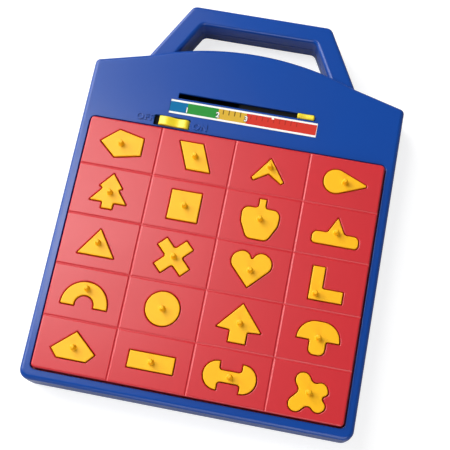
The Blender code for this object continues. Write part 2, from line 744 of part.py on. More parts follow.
def make_base_shell():
    """Lower half of the case with its columns, posts, ribs and feet."""
    base = half_shell(PARTING_Z - GAP / 2, FOOT_HEIGHT, BOTTOM_EDGE_RADIUS, HANDLE_BOTTOM_Z)
    columns = []
    wells = []
    holes = []
    well_radius = SCREW_HEAD_RADIUS + GAP
    for x, y in screw_places():
        floor = HANDLE_BOTTOM_Z if y > LEG_FOOT_Y + LEG_ROOT else FOOT_HEIGHT
        columns.append(column(well_radius + COLUMN_WALL, floor + BITE, PARTING_Z - GAP / 2, (x, y)))
        wells.append(column(well_radius, -CUT, WELL_TOP_Z, (x, y)))
        hole = SCREW_SHANK_RADIUS + GAP
        holes.append(column(hole, WELL_TOP_Z - CUT, PARTING_Z + CUT, (x, y), SHAFT_SIDES))
    foot_x = CASE_WIDTH / 2 - FOOT_INSET
    feet = []
    for x in (-foot_x, foot_x):
        for y in (FRONT_Y + FOOT_INSET, SHOULDER_Y - FOOT_INSET):
            feet.append(column(FOOT_RADIUS, 0.0, FOOT_HEIGHT + BITE, (x, y)))
    along, across = base_ribs()
    add(base, [gather(columns), gather(base_posts()), along, across, gather(feet)])
    clock_holes = []
    for place in pillar_places():
        radius = CLOCK_SCREW_RADIUS + GAP
        clock_holes.append(column(radius, FLOOR_Z - BITE, LOWER_PLATE_Z, place, SHAFT_SIDES))
    cut(base, [gather(wells), gather(holes), gather(clock_holes)])
    return dress(base, "base_shell", "case_blue")


def make_case_screw(index, place):
    """Pan head screw, placed by the seat of its head."""
    screw = turned([
        (SCREW_HEAD_RADIUS - PIECE_BEVEL, -SCREW_HEAD_HEIGHT),
        (SCREW_HEAD_RADIUS, -SCREW_HEAD_HEIGHT / 2),
        (SCREW_HEAD_RADIUS, 0.0),
        (SCREW_SHANK_RADIUS, 0.0),
        (SCREW_SHANK_RADIUS, PARTING_Z + SCREW_REACH - WELL_TOP_Z),
    ], sides=SHAFT_SIDES)
    return dress(screw, f"case_screw_{index}", "spring_steel", (*place, WELL_TOP_Z - GAP))


# Shapes, as corners in shares of the square that they are drawn in

SHARP = 0.02
TEARDROP_CENTRE_SHARE = -0.17
TEARDROP_RADIUS_SHARE = 0.2575
TEARDROP_ANGLE = math.radians(22.5)
CROSS_WIDTH_SHARE = 0.125
CROSS_REACH_SHARE = 0.395
CLOVER_LOBE_SHARES = (
    (0.205, 0.085, 0.140),
    (-0.1375, 0.210, 0.155),
    (-0.2075, -0.240, 0.155),
    (0.1975, -0.210, 0.140),
)
CLOVER_FILLET_SHARE = 0.09
PENTAGON_SHARES = (
    (-0.4375, 0.0, SHARP),
    (-0.09, -0.305, SHARP),
    (0.4375, -0.19, SHARP),
    (0.4375, 0.19, SHARP),
    (-0.09, 0.305, SHARP),
)
RHOMBUS_SHARES = (
    (-0.13, -0.295, SHARP),
    (0.375, -0.295, SHARP),
    (0.13, 0.295, SHARP),
    (-0.375, 0.295, SHARP),
)
CHEVRON_SHARES = (
    (0.0, -0.10, SHARP),
    (0.272, -0.275, SHARP),
    (0.335, -0.215, SHARP),
    (0.0, 0.255, SHARP),
)
TREE_SHARES = (
    (0.125, -0.34, SHARP),
    (0.125, -0.21, SHARP),
    (0.395, -0.21, SHARP),
    (0.175, 0.07, SHARP),
    (0.245, 0.115, SHARP),
    (0.0, 0.415, SHARP),
)
APPLE_SHARES = (
    (0.21, -0.415, 0.15),
    (0.375, -0.08, 0.24),
    (0.385, 0.235, 0.15),
    (0.082, 0.240, 0.045),
    (0.082, 0.425, SHARP),
)
HAT_SHARES = (
    (0.4625, -0.27, 0.09),
    (0.4625, 0.0, 0.12),
    (0.175, 0.0, 0.055),
    (0.0, 0.335, SHARP),
)
TRIANGLE_SHARES = (
    (0.3875, -0.27, SHARP),
    (0.0, 0.305, SHARP),
)
HEART_SHARES = (
    (0.0, -0.35, SHARP),
    (0.53, 0.205, 0.21),
    (0.0875, 0.46, 0.21),
    (0.0, 0.2225, SHARP),
)
ELL_SHARES = (
    (-0.334, -0.34, SHARP),
    (0.334, -0.34, SHARP),
    (0.334, -0.08, SHARP),
    (-0.064, -0.08, SHARP),
    (-0.064, 0.34, SHARP),
    (-0.334, 0.34, SHARP),
)
ARCH_SHARES = (
    (0.1725, -0.035, 0.1725),
    (0.1725, -0.255, SHARP),
    (0.4625, -0.255, SHARP),
    (0.4625, 0.255, 0.4625),
)
ARROW_SHARES = (
    (0.18, -0.3925, SHARP),
    (0.18, -0.16, SHARP),
    (0.455, -0.14, SHARP),
    (0.0, 0.40, SHARP),
)
MUSHROOM_SHARES = (
    (0.1675, -0.3375, 0.125),
    (0.1675, -0.065, SHARP),
    (0.4175, -0.065, SHARP),
    (0.4175, 0.325, 0.36),
)
GEM_SHARES = (
    (0.2875, -0.245, SHARP),
    (0.4425, -0.07, SHARP),
    (0.0, 0.3225, SHARP),
)
SPOOL_SHARES = (
    (0.1975, -0.125, 0.045),
    (0.1975, -0.285, SHARP),
    (0.515, -0.285, 0.285),
    (0.515, 0.285, 0.285),
    (0.1975, 0.285, SHARP),
    (0.1975, 0.125, 0.045),
)
SQUARE_HALF_SHARE = 0.3125
RECTANGLE_HALF_SHARES = (0.45, 0.176)
DISC_RADIUS_SHARE = 0.345


def rectangle_shares(half_x, half_y, radius):
    """Upright rectangle about the middle."""
    return box_corners(-half_x, half_x, -half_y, half_y, radius)


def teardrop_shares():
    """Circle drawn out to a point: the tangents from the point meet the upright left tangent."""
    radius = TEARDROP_RADIUS_SHARE
    left = TEARDROP_CENTRE_SHARE - radius
    point = TEARDROP_CENTRE_SHARE + radius / math.sin(TEARDROP_ANGLE)
    half = (point - left) * math.tan(TEARDROP_ANGLE)
    return [(left, -half, radius), (point, 0.0, 2 * SHARP), (left, half, radius)]


def cross_shares():
    """Two bars of one width that cross on the diagonals."""
    width = CROSS_WIDTH_SHARE
    reach = CROSS_REACH_SHARE
    corners = []
    for quarter in range(4):
        turn = math.pi / 4 + quarter * math.pi / 2
        for x, y, radius in ((width, -width, 2 * SHARP), (reach, -width, SHARP), (reach, width, SHARP)):
            corners.append((
                x * math.cos(turn) - y * math.sin(turn),
                x * math.sin(turn) + y * math.cos(turn),
                radius,
            ))
    return corners


def clover_shares():
    """Four round ended arms from the middle, joined where their sides meet."""
    lobes = CLOVER_LOBE_SHARES
    corners = []
    for index, (x, y, radius) in enumerate(lobes):
        next_x, next_y, next_radius = lobes[(index + 1) % len(lobes)]
        along = Vector((x, y)).normalized()
        side = Vector((-along.y, along.x))
        next_along = Vector((next_x, next_y)).normalized()
        next_side = Vector((-next_along.y, next_along.x))
        end = Vector((x, y)) + along * radius
        corners.append((*(end - side * radius), radius))
        corners.append((*(end + side * radius), radius))
        start = side * radius
        across = -next_side * next_radius - start
        run = across.cross(next_along) / along.cross(next_along)
        corners.append((*(start + along * run), CLOVER_FILLET_SHARE))
    return corners


SHAPES = {
    "pentagon": PENTAGON_SHARES,
    "rhombus": RHOMBUS_SHARES,
    "chevron": mirrored(CHEVRON_SHARES),
    "teardrop": teardrop_shares(),
    "tree": mirrored(TREE_SHARES),
    "square": rectangle_shares(SQUARE_HALF_SHARE, SQUARE_HALF_SHARE, SHARP),
    "apple": mirrored(APPLE_SHARES),
    "hat": mirrored(HAT_SHARES),
    "triangle": mirrored(TRIANGLE_SHARES),
    "cross": cross_shares(),
    "heart": mirrored(HEART_SHARES),
    "ell": ELL_SHARES,
    "arch": mirrored(ARCH_SHARES),
    "disc": rectangle_shares(DISC_RADIUS_SHARE, DISC_RADIUS_SHARE, DISC_RADIUS_SHARE),
    "arrow": mirrored(ARROW_SHARES),
    "mushroom": mirrored(MUSHROOM_SHARES),
    "gem": mirrored(GEM_SHARES),
    "rectangle": rectangle_shares(*RECTANGLE_HALF_SHARES, SHARP),
    "spool": mirrored(SPOOL_SHARES),
    "clover": clover_shares(),
}
SLENDER = {"chevron": 0.5}  # share of the plug's step that a slender shape has room for
PEG_SHIFT_SHARES = {"ell": (-0.199, -0.21), "arch": (0.0, 0.11), "chevron": (0.0, 0.05)}


def shape_corners(name):
    """Corners of a shape at its real size."""
    return [(x * SHAPE_SPAN, y * SHAPE_SPAN, radius * SHAPE_SPAN) for x, y, radius in SHAPES[name]]


def cell_centre(name):
    """Centre of a shape's cell: the shapes fill the rows from the handle's end, left to right."""
    row, column_index = divmod(list(SHAPES).index(name), COLUMNS)
    x = (column_index - (COLUMNS - 1) / 2) * COLUMN_PITCH
    y = TRAY_CENTRE_Y + ((ROWS - 1) / 2 - row) * ROW_PITCH
    return x, y


# Tray

def shifted(points, x, y):
    """Outline points moved in plan."""
    return [(px + x, py + y) for px, py in points]


def pocket_tools(name):
    """The pocket's outer body and the cavity cut into it, about the tray's own origin."""
    x, y = cell_centre(name)
    y -= TRAY_CENTRE_Y
    corners = shape_corners(name)
    floor = -POCKET_DEPTH
    under = floor - POCKET_WALL
    grow = POCKET_WALL
    body = loft([
        (shifted(outline(corners, POCKET_LEAN * POCKET_DEPTH - grow), x, y), under),
        (shifted(outline(corners, -grow), x, y), -TRAY_PLATE / 2),
    ])
    cavity = loft([
        (shifted(outline(corners, POCKET_LEAN * POCKET_DEPTH), x, y), floor),
        (shifted(outline(corners), x, y), 0.0),
        (shifted(outline(corners), x, y), CUT),
    ])
    return body, cavity


def groove_tools():
    """Grooves between the cells."""
    half = GROOVE_WIDTH / 2
    half_width = TRAY_WIDTH / 2 + CUT
    half_length = TRAY_LENGTH / 2 + CUT
    upright = []
    for index in range(1, COLUMNS):
        x = (index - COLUMNS / 2) * COLUMN_PITCH
        upright.append(block(x - half, x + half, -half_length, half_length, -GROOVE_DEPTH, CUT))
    level = []
    for index in range(1, ROWS):
        y = (index - ROWS / 2) * ROW_PITCH
        level.append(block(-half_width, half_width, y - half, y + half, -GROOVE_DEPTH, CUT))
    return [gather(upright), gather(level)]


def make_shape_tray():
    """Tray with a flanged skirt, twenty drafted pockets, grooves and four spring bosses."""
    corners = centred_box(TRAY_WIDTH, TRAY_LENGTH, TRAY_CORNER_RADIUS)
    flange_top = TRAY_FLANGE_TOP_Z - TRAY_TOP_Z
    bottom = TRAY_BOTTOM_Z - TRAY_TOP_Z
    levels = [
        (outline(corners, -TRAY_FLANGE), bottom),
        (outline(corners, -TRAY_FLANGE), flange_top),
        (outline(corners), flange_top),
    ]
    for step in range(EDGE_STEPS):
        angle = math.pi / 2 * step / (EDGE_STEPS - 1)
        inset = TRAY_EDGE_RADIUS * (1 - math.cos(angle))
        levels.append((outline(corners, inset), -TRAY_EDGE_RADIUS * (1 - math.sin(angle))))
    tray = loft(levels)
    cut(tray, [prism(outline(corners, TRAY_SKIRT), bottom - CUT, -TRAY_PLATE)])
    bodies = []
    cavities = []
    for name in SHAPES:
        body, cavity = pocket_tools(name)
        bodies.append(body)
        cavities.append(cavity)
    bosses = []
    bores = []
    bore = SPRING_RADIUS + SPRING_WIRE / 2 + PIECE_CLEARANCE
    for x, y in spring_places():
        place = (x, y - TRAY_CENTRE_Y)
        bosses.append(column(bore + TRAY_BOSS_WALL, -TRAY_BOSS_LENGTH, -TRAY_PLATE / 2, place))
        bores.append(column(bore, -TRAY_BOSS_LENGTH - CUT, -TRAY_PLATE, place))
    add(tray, [gather(bodies), gather(bosses)])
    cut(tray, [gather(cavities), gather(bores)] + groove_tools())
    return dress(tray, "shape_tray", "tray_red", (0.0, TRAY_CENTRE_Y, TRAY_TOP_Z))


def make_piece(name):
    """Shape piece: a plug, a wider flange above it and a peg to hold it by."""
    corners = shape_corners(name)
    step = PLUG_STEP * SLENDER.get(name, 1.0)
    plug = outline(corners, PIECE_CLEARANCE + step)
    flange = outline(corners, PIECE_CLEARANCE)
    bevelled = outline(corners, PIECE_CLEARANCE + PIECE_BEVEL)
    piece = loft([
        (plug, 0.0),
        (plug, PLUG_HEIGHT),
        (flange, PLUG_HEIGHT),
        (flange, PIECE_HEIGHT - PIECE_BEVEL),
        (bevelled, PIECE_HEIGHT),
    ])
    shift_x, shift_y = PEG_SHIFT_SHARES.get(name, (0.0, 0.0))
    peg = turned([
        (PEG_RADIUS, PIECE_HEIGHT - BITE),
        (PEG_RADIUS - PEG_TAPER, PIECE_HEIGHT + PEG_HEIGHT - PEG_ROUND),
        (PEG_RADIUS - PEG_TAPER - PEG_ROUND, PIECE_HEIGHT + PEG_HEIGHT),
    ], (shift_x * SHAPE_SPAN, shift_y * SHAPE_SPAN), SHAFT_SIDES)
    add(piece, [peg])
    x, y = cell_centre(name)
    return dress(piece, name + "_piece", "piece_yellow", (x, y, POCKET_FLOOR_Z + GAP))


def make_lift_spring(index, place):
    """Compression spring as a tube along a helix."""
    curve = bpy.data.curves.new("spring", "CURVE")
    curve.dimensions = "3D"
    curve.bevel_depth = SPRING_WIRE / 2
    curve.bevel_resolution = 0
    curve.use_fill_caps = True
    spline = curve.splines.new("POLY")
    count = SPRING_TURNS * SPRING_STEPS + 1
    spline.points.add(count - 1)
    climb = SPRING_LENGTH - SPRING_WIRE
    for step in range(count):
        angle = 2 * math.pi * step / SPRING_STEPS
        height = SPRING_WIRE / 2 + climb * step / (count - 1)
        x, y = polar((0.0, 0.0), SPRING_RADIUS, angle)
        spline.points[step].co = (x, y, height, 1.0)
    helix = bpy.data.objects.new("helix", curve)
    bpy.context.collection.objects.link(helix)
    graph = bpy.context.evaluated_depsgraph_get()
    mesh = bpy.data.meshes.new_from_object(helix.evaluated_get(graph))
    bpy.data.objects.remove(helix, do_unlink=True)
    spring = bpy.data.objects.new("spring", mesh)
    bpy.context.collection.objects.link(spring)
    return dress(spring, f"lift_spring_{index}", "spring_steel", (*place, FLOOR_Z + GAP))


# Timer slide

def make_timer_pointer():
    """Bar that fills the slot and stands proud of the panel with a rounded top."""
    half = SLOT_WIDTH / 2 - GAP
    top = CASE_TOP_Z + POINTER_RISE - CEILING_Z
    round_z = top - half
    profile = [(-half, 0.0), (half, 0.0)]
    for step in range(EDGE_STEPS * 2 + 1):
        angle = math.pi * step / (EDGE_STEPS * 2)
        profile.append((half * math.cos(angle), round_z + half * math.sin(angle)))
    count = len(profile)
    ends = (-POINTER_LENGTH / 2, POINTER_LENGTH / 2)
    points = [(x, y, z) for x in ends for y, z in profile]
    faces = [tuple(range(count - 1, -1, -1)), tuple(range(count, 2 * count))]
    for index in range(count):
        following = (index + 1) % count
        faces.append((index, following, count + following, count + index))
    pointer = solid("pointer", points, faces)
    return dress(pointer, "timer_pointer", "lemon_yellow", (POINTER_X, SLOT_Y, CEILING_Z))


def make_timer_rack():
    """Toothed slide under the panel that carries the pointer and drives the winding pinion."""
    left = -RACK_OVERLAP
    right = POINTER_TRAVEL + RACK_OVERLAP
    pitch = math.pi * RACK_MODULE
    front = SLOT_Y - RACK_BODY / 2
    tip_y = RACK_PITCH_Y + ADDENDUM_SHARE * RACK_MODULE
    half_mid = pitch / 4 - BACKLASH_SHARE * RACK_MODULE / 2
    lean = math.tan(PRESSURE_ANGLE)
    half_root = half_mid + DEDENDUM_SHARE * RACK_MODULE * lean
    half_tip = half_mid - ADDENDUM_SHARE * RACK_MODULE * lean
    offset = (0.5 - winding_fraction()) * pitch
    first = math.ceil((left + half_root - offset) / pitch)
    last = math.floor((right - half_root - offset) / pitch)
    points = [(left, front), (right, front), (right, RACK_BODY_BACK_Y)]
    for number in range(last, first - 1, -1):
        x = offset + number * pitch
        points += [
            (x + half_root, RACK_BODY_BACK_Y),
            (x + half_tip, tip_y),
            (x - half_tip, tip_y),
            (x - half_root, RACK_BODY_BACK_Y),
        ]
    points.append((left, RACK_BODY_BACK_Y))
    centred = shifted(points, -POINTER_X, -SLOT_Y)
    rack = prism(centred, 0.0, RACK_THICKNESS)
    return dress(rack, "timer_rack", "clock_black", (POINTER_X, SLOT_Y, RACK_BOTTOM_Z))


def make_scale_label():
    """Thin strip let into the panel below the slot."""
    label = prism(outline(centred_box(LABEL_LENGTH, LABEL_WIDTH)), 0.0, LABEL_THICKNESS)
    z = CASE_TOP_Z - LABEL_POCKET + GAP
    return dress(label, "scale_label", "label_print", (LABEL_CENTRE_X, LABEL_Y, z))


# ON and OFF slide

def knob_rise(share):
    """Height of the knob's top above the panel at a share of its length from the left."""
    wave = math.cos(2 * math.pi * (share - KNOB_CREST_SHARE) / KNOB_WAVE_SHARE)
    rise = KNOB_RISE - KNOB_FALL * share + KNOB_WAVE * wave
    ends = ((KNOB_LEFT_RADIUS, share * KNOB_LENGTH), (KNOB_RIGHT_RADIUS, (1 - share) * KNOB_LENGTH))
    for radius, distance in ends:
        past = max(radius - distance, 0.0)
        rise -= radius - math.sqrt(radius**2 - past**2)
    return rise


def make_on_off_knob():
    """Slide whose waved top falls from left to right, with a dip for the finger."""
    half = KNOB_LENGTH / 2
    profile = [(-half, 0.0), (half, 0.0)]
    for step in range(KNOB_STEPS + 1):
        share = (1 + math.cos(math.pi * step / KNOB_STEPS)) / 2
        x = share * KNOB_LENGTH - half
        profile.append((x, WALL + knob_rise(share)))
    count = len(profile)
    width = KNOB_SLOT_WIDTH / 2 - GAP
    points = [(x, y, z) for y in (-width, width) for x, z in profile]
    faces = [tuple(range(count)), tuple(range(2 * count - 1, count - 1, -1))]
    for index in range(count):
        following = (index + 1) % count
        faces.append((index, count + index, count + following, following))
    knob = solid("knob", points, faces)
    return dress(knob, "on_off_knob", "lemon_yellow", (KNOB_X, KNOB_Y, CEILING_Z))


def make_switch_slide():
    """Carriage under the panel with the arm that stops the pallet when the switch is off."""
    width = KNOB_SLOT_WIDTH / 2 - GAP
    low = RACK_TOP_Z - CARRIAGE_THICKNESS
    back = KNOB_Y + width + CARRIAGE_OVERHANG
    slide = block(KNOB_X - CARRIAGE_HALF, KNOB_X + CARRIAGE_HALF, KNOB_Y - width, back, low, RACK_TOP_Z)
    flag_side = PALLET_AT[0] + FLAG_WIDTH / 2 + FLAG_SWING
    arm_left = flag_side + GAP + SWITCH_TRAVEL
    arm_right = arm_left + ARM_WIDTH
    arm_end = PALLET_AT[1] + FLAG_LENGTH
    web = block(arm_left, arm_right, back - ARM_WIDTH, back, ARM_Z, low + BITE)
    arm = block(arm_left, arm_right, back - BITE, arm_end, ARM_Z, ARM_TOP_Z)
    add(slide, [web, arm])
    for vertex in slide.data.vertices:
        vertex.co.x -= KNOB_X
        vertex.co.y -= KNOB_Y
        vertex.co.z -= low
    return dress(slide, "switch_slide", "clock_black", (KNOB_X, KNOB_Y, low))


# Clockwork

def involute(angle):
    """Involute function."""
    return math.tan(angle) - angle


def gear_points(module, teeth, phase):
    """Outline of a gear: each tooth runs straight from root to tip inside its involute flanks."""
    pitch_radius = module * teeth / 2
    base = pitch_radius * math.cos(PRESSURE_ANGLE)
    tip = pitch_radius + ADDENDUM_SHARE * module
    root = pitch_radius - DEDENDUM_SHARE * module
    middle = math.pi / (2 * teeth) - BACKLASH_SHARE * module / (2 * pitch_radius)

    def half_angle(radius):
        slope = math.acos(min(1.0, base / radius))
        return middle + involute(PRESSURE_ANGLE) - involute(slope)

    points = []
    for tooth in range(teeth):
        centre = phase + 2 * math.pi * tooth / teeth
        for radius, side in ((root, -1), (tip, -1), (tip, 1), (root, 1)):
            points.append(polar((0.0, 0.0), radius, centre + side * half_angle(radius)))
    return points


def tooth_fraction(teeth, phase, bearing):
    """Where a bearing falls between two teeth, as a share of the tooth pitch."""
    return ((bearing - phase) * teeth / (2 * math.pi)) % 1.0


def meshing_phase(fraction, teeth, bearing):
    """Phase that puts a gear in mesh with one whose tooth fraction on this bearing is given."""
    return bearing + math.pi - (0.5 - fraction) * 2 * math.pi / teeth


WINDING_PHASE = 0.0
GREAT_PHASE = 0.0


def winding_fraction():
    """Tooth fraction of the winding pinion towards the rack."""
    return tooth_fraction(WINDING_TEETH, WINDING_PHASE, -math.pi / 2)


def make_winding_pinion():
    """Arbor with a collar under the barrel, a hub over the upper plate and the winding teeth."""
    origin = LOWER_PLATE_Z
    teeth_low = RACK_BOTTOM_Z - origin
    teeth_high = RACK_TOP_Z - GAP - origin
    pinion = turned([
        (ARBOR_RADIUS, 0.0),
        (ARBOR_RADIUS, LOWER_PLATE_TOP_Z + GAP - origin),
        (COLLAR_RADIUS, LOWER_PLATE_TOP_Z + GAP - origin),
        (COLLAR_RADIUS, BARREL_Z - GAP - origin),
        (ARBOR_RADIUS, BARREL_Z - GAP - origin),
        (ARBOR_RADIUS, UPPER_PLATE_TOP_Z + GAP - origin),
        (HUB_RADIUS, UPPER_PLATE_TOP_Z + GAP - origin),
        (HUB_RADIUS, teeth_low + BITE),
    ])
    add(pinion, [prism(gear_points(RACK_MODULE, WINDING_TEETH, WINDING_PHASE), teeth_low, teeth_high)])
    return dress(pinion, "winding_pinion", "clock_nylon", (*BARREL_AT, origin))


def make_spring_barrel():
    """Great wheel with the open drum for the mainspring under it."""
    top = DRUM_HEIGHT + WHEEL_THICKNESS
    wheel = prism(gear_points(TRAIN_MODULE, GREAT_TEETH, GREAT_PHASE), DRUM_HEIGHT, top)
    sides = 2 * ROUND_SIDES
    add(wheel, [prism(circle(DRUM_RADIUS, sides=sides), 0.0, DRUM_HEIGHT + BITE)])
    cut(wheel, [
        prism(circle(DRUM_RADIUS - DRUM_WALL, sides=sides), -CUT, DRUM_HEIGHT),
        column(ARBOR_RADIUS + GAP, DRUM_HEIGHT - CUT, top + CUT),
    ])
    return dress(wheel, "spring_barrel", "clock_nylon", (*BARREL_AT, BARREL_Z))


def make_mainspring():
    """Flat spiral strip between the arbor and the drum's wall."""
    inner = ARBOR_RADIUS + GAP + MAINSPRING_STRIP / 2
    outer = DRUM_RADIUS - DRUM_WALL - GAP - MAINSPRING_STRIP / 2
    count = int(MAINSPRING_TURNS * MAINSPRING_STEPS) + 1
    low = GAP
    high = DRUM_HEIGHT - GAP
    points = []
    for step in range(count):
        angle = 2 * math.pi * step / MAINSPRING_STEPS
        radius = inner + (outer - inner) * step / (count - 1)
        for side, z in ((-1, low), (1, low), (1, high), (-1, high)):
            x, y = polar((0.0, 0.0), radius + side * MAINSPRING_STRIP / 2, angle)
            points.append((x, y, z))
    faces = [(0, 1, 2, 3), tuple(4 * (count - 1) + corner for corner in (3, 2, 1, 0))]
    for step in range(count - 1):
        for corner in range(4):
            following = (corner + 1) % 4
            near = 4 * step
            far = near + 4
            faces.append((near + corner, far + corner, far + following, near + following))
    spiral = solid("spiral", points, faces)
    return dress(spiral, "mainspring", "spring_steel", (*BARREL_AT, BARREL_Z))


def wheel_on_staff(pinion_low, pinion_high, pinion_phase, wheel_points, wheel_low, wheel_high):
    """Arbor with a pinion and a wheel, moulded in one, measured from the lower plate."""
    top = UPPER_PLATE_TOP_Z - LOWER_PLATE_Z
    shoulder = LOWER_PLATE_TOP_Z + GAP - LOWER_PLATE_Z
    shaft = turned([
        (STAFF_RADIUS, 0.0),
        (STAFF_RADIUS, shoulder),
        (ARBOR_RADIUS, shoulder),
        (ARBOR_RADIUS, UPPER_PLATE_Z - GAP - LOWER_PLATE_Z),
        (STAFF_RADIUS, UPPER_PLATE_Z - GAP - LOWER_PLATE_Z),
        (STAFF_RADIUS, top),
    ], sides=SHAFT_SIDES)
    pinion = prism(gear_points(TRAIN_MODULE, PINION_TEETH, pinion_phase), pinion_low, pinion_high)
    add(shaft, [pinion, prism(wheel_points, wheel_low, wheel_high)])
    return shaft


def second_pinion_phase():
    """Phase of the second wheel, in mesh with the great wheel."""
    fraction = tooth_fraction(GREAT_TEETH, GREAT_PHASE, SECOND_BEARING)
    return meshing_phase(fraction, PINION_TEETH, SECOND_BEARING)


def make_second_wheel():
    """Second wheel: its pinion meets the great wheel."""
    phase = second_pinion_phase()
    low = GREAT_WHEEL_Z - LOWER_PLATE_Z
    wheel_low = SECOND_WHEEL_Z - LOWER_PLATE_Z
    wheel_high = wheel_low + WHEEL_THICKNESS
    points = gear_points(TRAIN_MODULE, SECOND_TEETH, 0.0)
    made = wheel_on_staff(low - GAP, wheel_low + BITE / 2, phase, points, wheel_low, wheel_high)
    return dress(made, "second_wheel", "clock_nylon", (*SECOND_AT, LOWER_PLATE_Z))


def ratchet_points():
    """Outline of the escape wheel: pointed teeth that lean one way."""
    points = []
    for tooth in range(ESCAPE_TEETH):
        angle = 2 * math.pi * tooth / ESCAPE_TEETH
        lean = math.pi / ESCAPE_TEETH / 2
        points.append(polar((0.0, 0.0), ESCAPE_RADIUS * ESCAPE_ROOT_SHARE, angle))
        points.append(polar((0.0, 0.0), ESCAPE_RADIUS, angle + lean))
    return points


def make_escape_wheel():
    """Escape wheel: its pinion meets the second wheel."""
    fraction = tooth_fraction(SECOND_TEETH, 0.0, ESCAPE_BEARING)
    phase = meshing_phase(fraction, PINION_TEETH, ESCAPE_BEARING)
    wheel_low = GREAT_WHEEL_Z - LOWER_PLATE_Z
    low = SECOND_WHEEL_Z - LOWER_PLATE_Z
    high = low + WHEEL_THICKNESS + GAP
    made = wheel_on_staff(low - GAP, high, phase, ratchet_points(), wheel_low, wheel_low + WHEEL_THICKNESS)
    return dress(made, "escape_wheel", "clock_nylon", (*ESCAPE_AT, LOWER_PLATE_Z))


def make_pallet():
    """Rocking pallet: two pads beside the escape wheel and a flag above the upper plate."""
    top = ARM_TOP_Z - LOWER_PLATE_Z
    shoulder = LOWER_PLATE_TOP_Z + GAP - LOWER_PLATE_Z
    neck = UPPER_PLATE_Z - GAP - LOWER_PLATE_Z
    shaft = turned([
        (STAFF_RADIUS, 0.0),
        (STAFF_RADIUS, shoulder),
        (PALLET_HUB, shoulder),
        (PALLET_HUB, neck),
        (STAFF_RADIUS, neck),
        (STAFF_RADIUS, top),
    ], sides=SHAFT_SIDES)
    low = GREAT_WHEEL_Z - LOWER_PLATE_Z
    high = low + WHEEL_THICKNESS
    half = PALLET_ARM / 2
    bar = block(-half, half, -PALLET_SPREAD, PALLET_SPREAD, low, high)
    pads = []
    for side in (-1, 1):
        near, far = sorted((side * PALLET_SPREAD, side * (PALLET_SPREAD - PALLET_ARM)))
        pads.append(block(0.0, PALLET_REACH, near, far, low + GAP, high - GAP))
    flag_low = ARM_Z - LOWER_PLATE_Z
    flag = block(-FLAG_WIDTH / 2, FLAG_WIDTH / 2, 0.0, FLAG_LENGTH, flag_low, top - GAP)
    add(shaft, [bar, gather(pads), flag])
    return dress(shaft, "pallet", "clock_nylon", (*PALLET_AT, LOWER_PLATE_Z))


def bearing_tools(low, high):
    """Bearing holes of the train in one plate."""
    holes = [column(ARBOR_RADIUS + GAP, low, high, BARREL_AT, SHAFT_SIDES)]
    for place in (SECOND_AT, ESCAPE_AT, PALLET_AT):
        holes.append(column(STAFF_RADIUS + GAP, low, high, place, SHAFT_SIDES))
    for place in pillar_places():
        holes.append(column(CLOCK_SCREW_RADIUS + GAP, low, high, place, SHAFT_SIDES))
    return holes


def plate(low):
    """One plate of the clockwork."""
    corners = box_corners(-PLATE_LEFT, PLATE_RIGHT, PLATE_FRONT_Y, PLATE_BACK_Y, PLATE_CORNER_RADIUS)
    return prism(outline(corners), low, low + PLATE_THICKNESS)


def make_timer_lower_plate():
    """Lower plate with its four pillars."""
    lower = plate(LOWER_PLATE_Z)
    pillars = []
    for place in pillar_places():
        pillars.append(column(PILLAR_RADIUS, LOWER_PLATE_TOP_Z - BITE, UPPER_PLATE_Z - GAP, place))
    add(lower, [gather(pillars)])
    cut(lower, [gather(bearing_tools(LOWER_PLATE_Z - CUT, UPPER_PLATE_Z))])
    return dress(lower, "timer_lower_plate", "clock_black")


def make_timer_upper_plate():
    """Upper plate, seated on the pillars."""
    upper = plate(UPPER_PLATE_Z)
    cut(upper, [gather(bearing_tools(UPPER_PLATE_Z - CUT, UPPER_PLATE_TOP_Z + CUT))])
    return dress(upper, "timer_upper_plate", "clock_black")


def make_timer_screw(index, place):
    """Long screw through both plates and a pillar into the base."""
    head = UPPER_PLATE_TOP_Z + GAP - FLOOR_Z
    screw = turned([
        (CLOCK_SCREW_RADIUS, 0.0),
        (CLOCK_SCREW_RADIUS, head),
        (CLOCK_SCREW_HEAD, head),
        (CLOCK_SCREW_HEAD - GAP, head + CLOCK_SCREW_HEAD_HEIGHT),
    ], sides=SHAFT_SIDES)
    return dress(screw, f"timer_screw_{index}", "spring_steel", (*place, FLOOR_Z))


# Latch

def bar_between(start, end, width, low, high):
    """Straight bar of one width between two points in plan."""
    direction = (Vector(end) - Vector(start)).normalized()
    side = Vector((-direction.y, direction.x)) * width / 2
    first = Vector(start)
    last = Vector(end)
    points = [first - side, last - side, last + side, first + side]
    return prism([(point.x, point.y) for point in points], low, high)


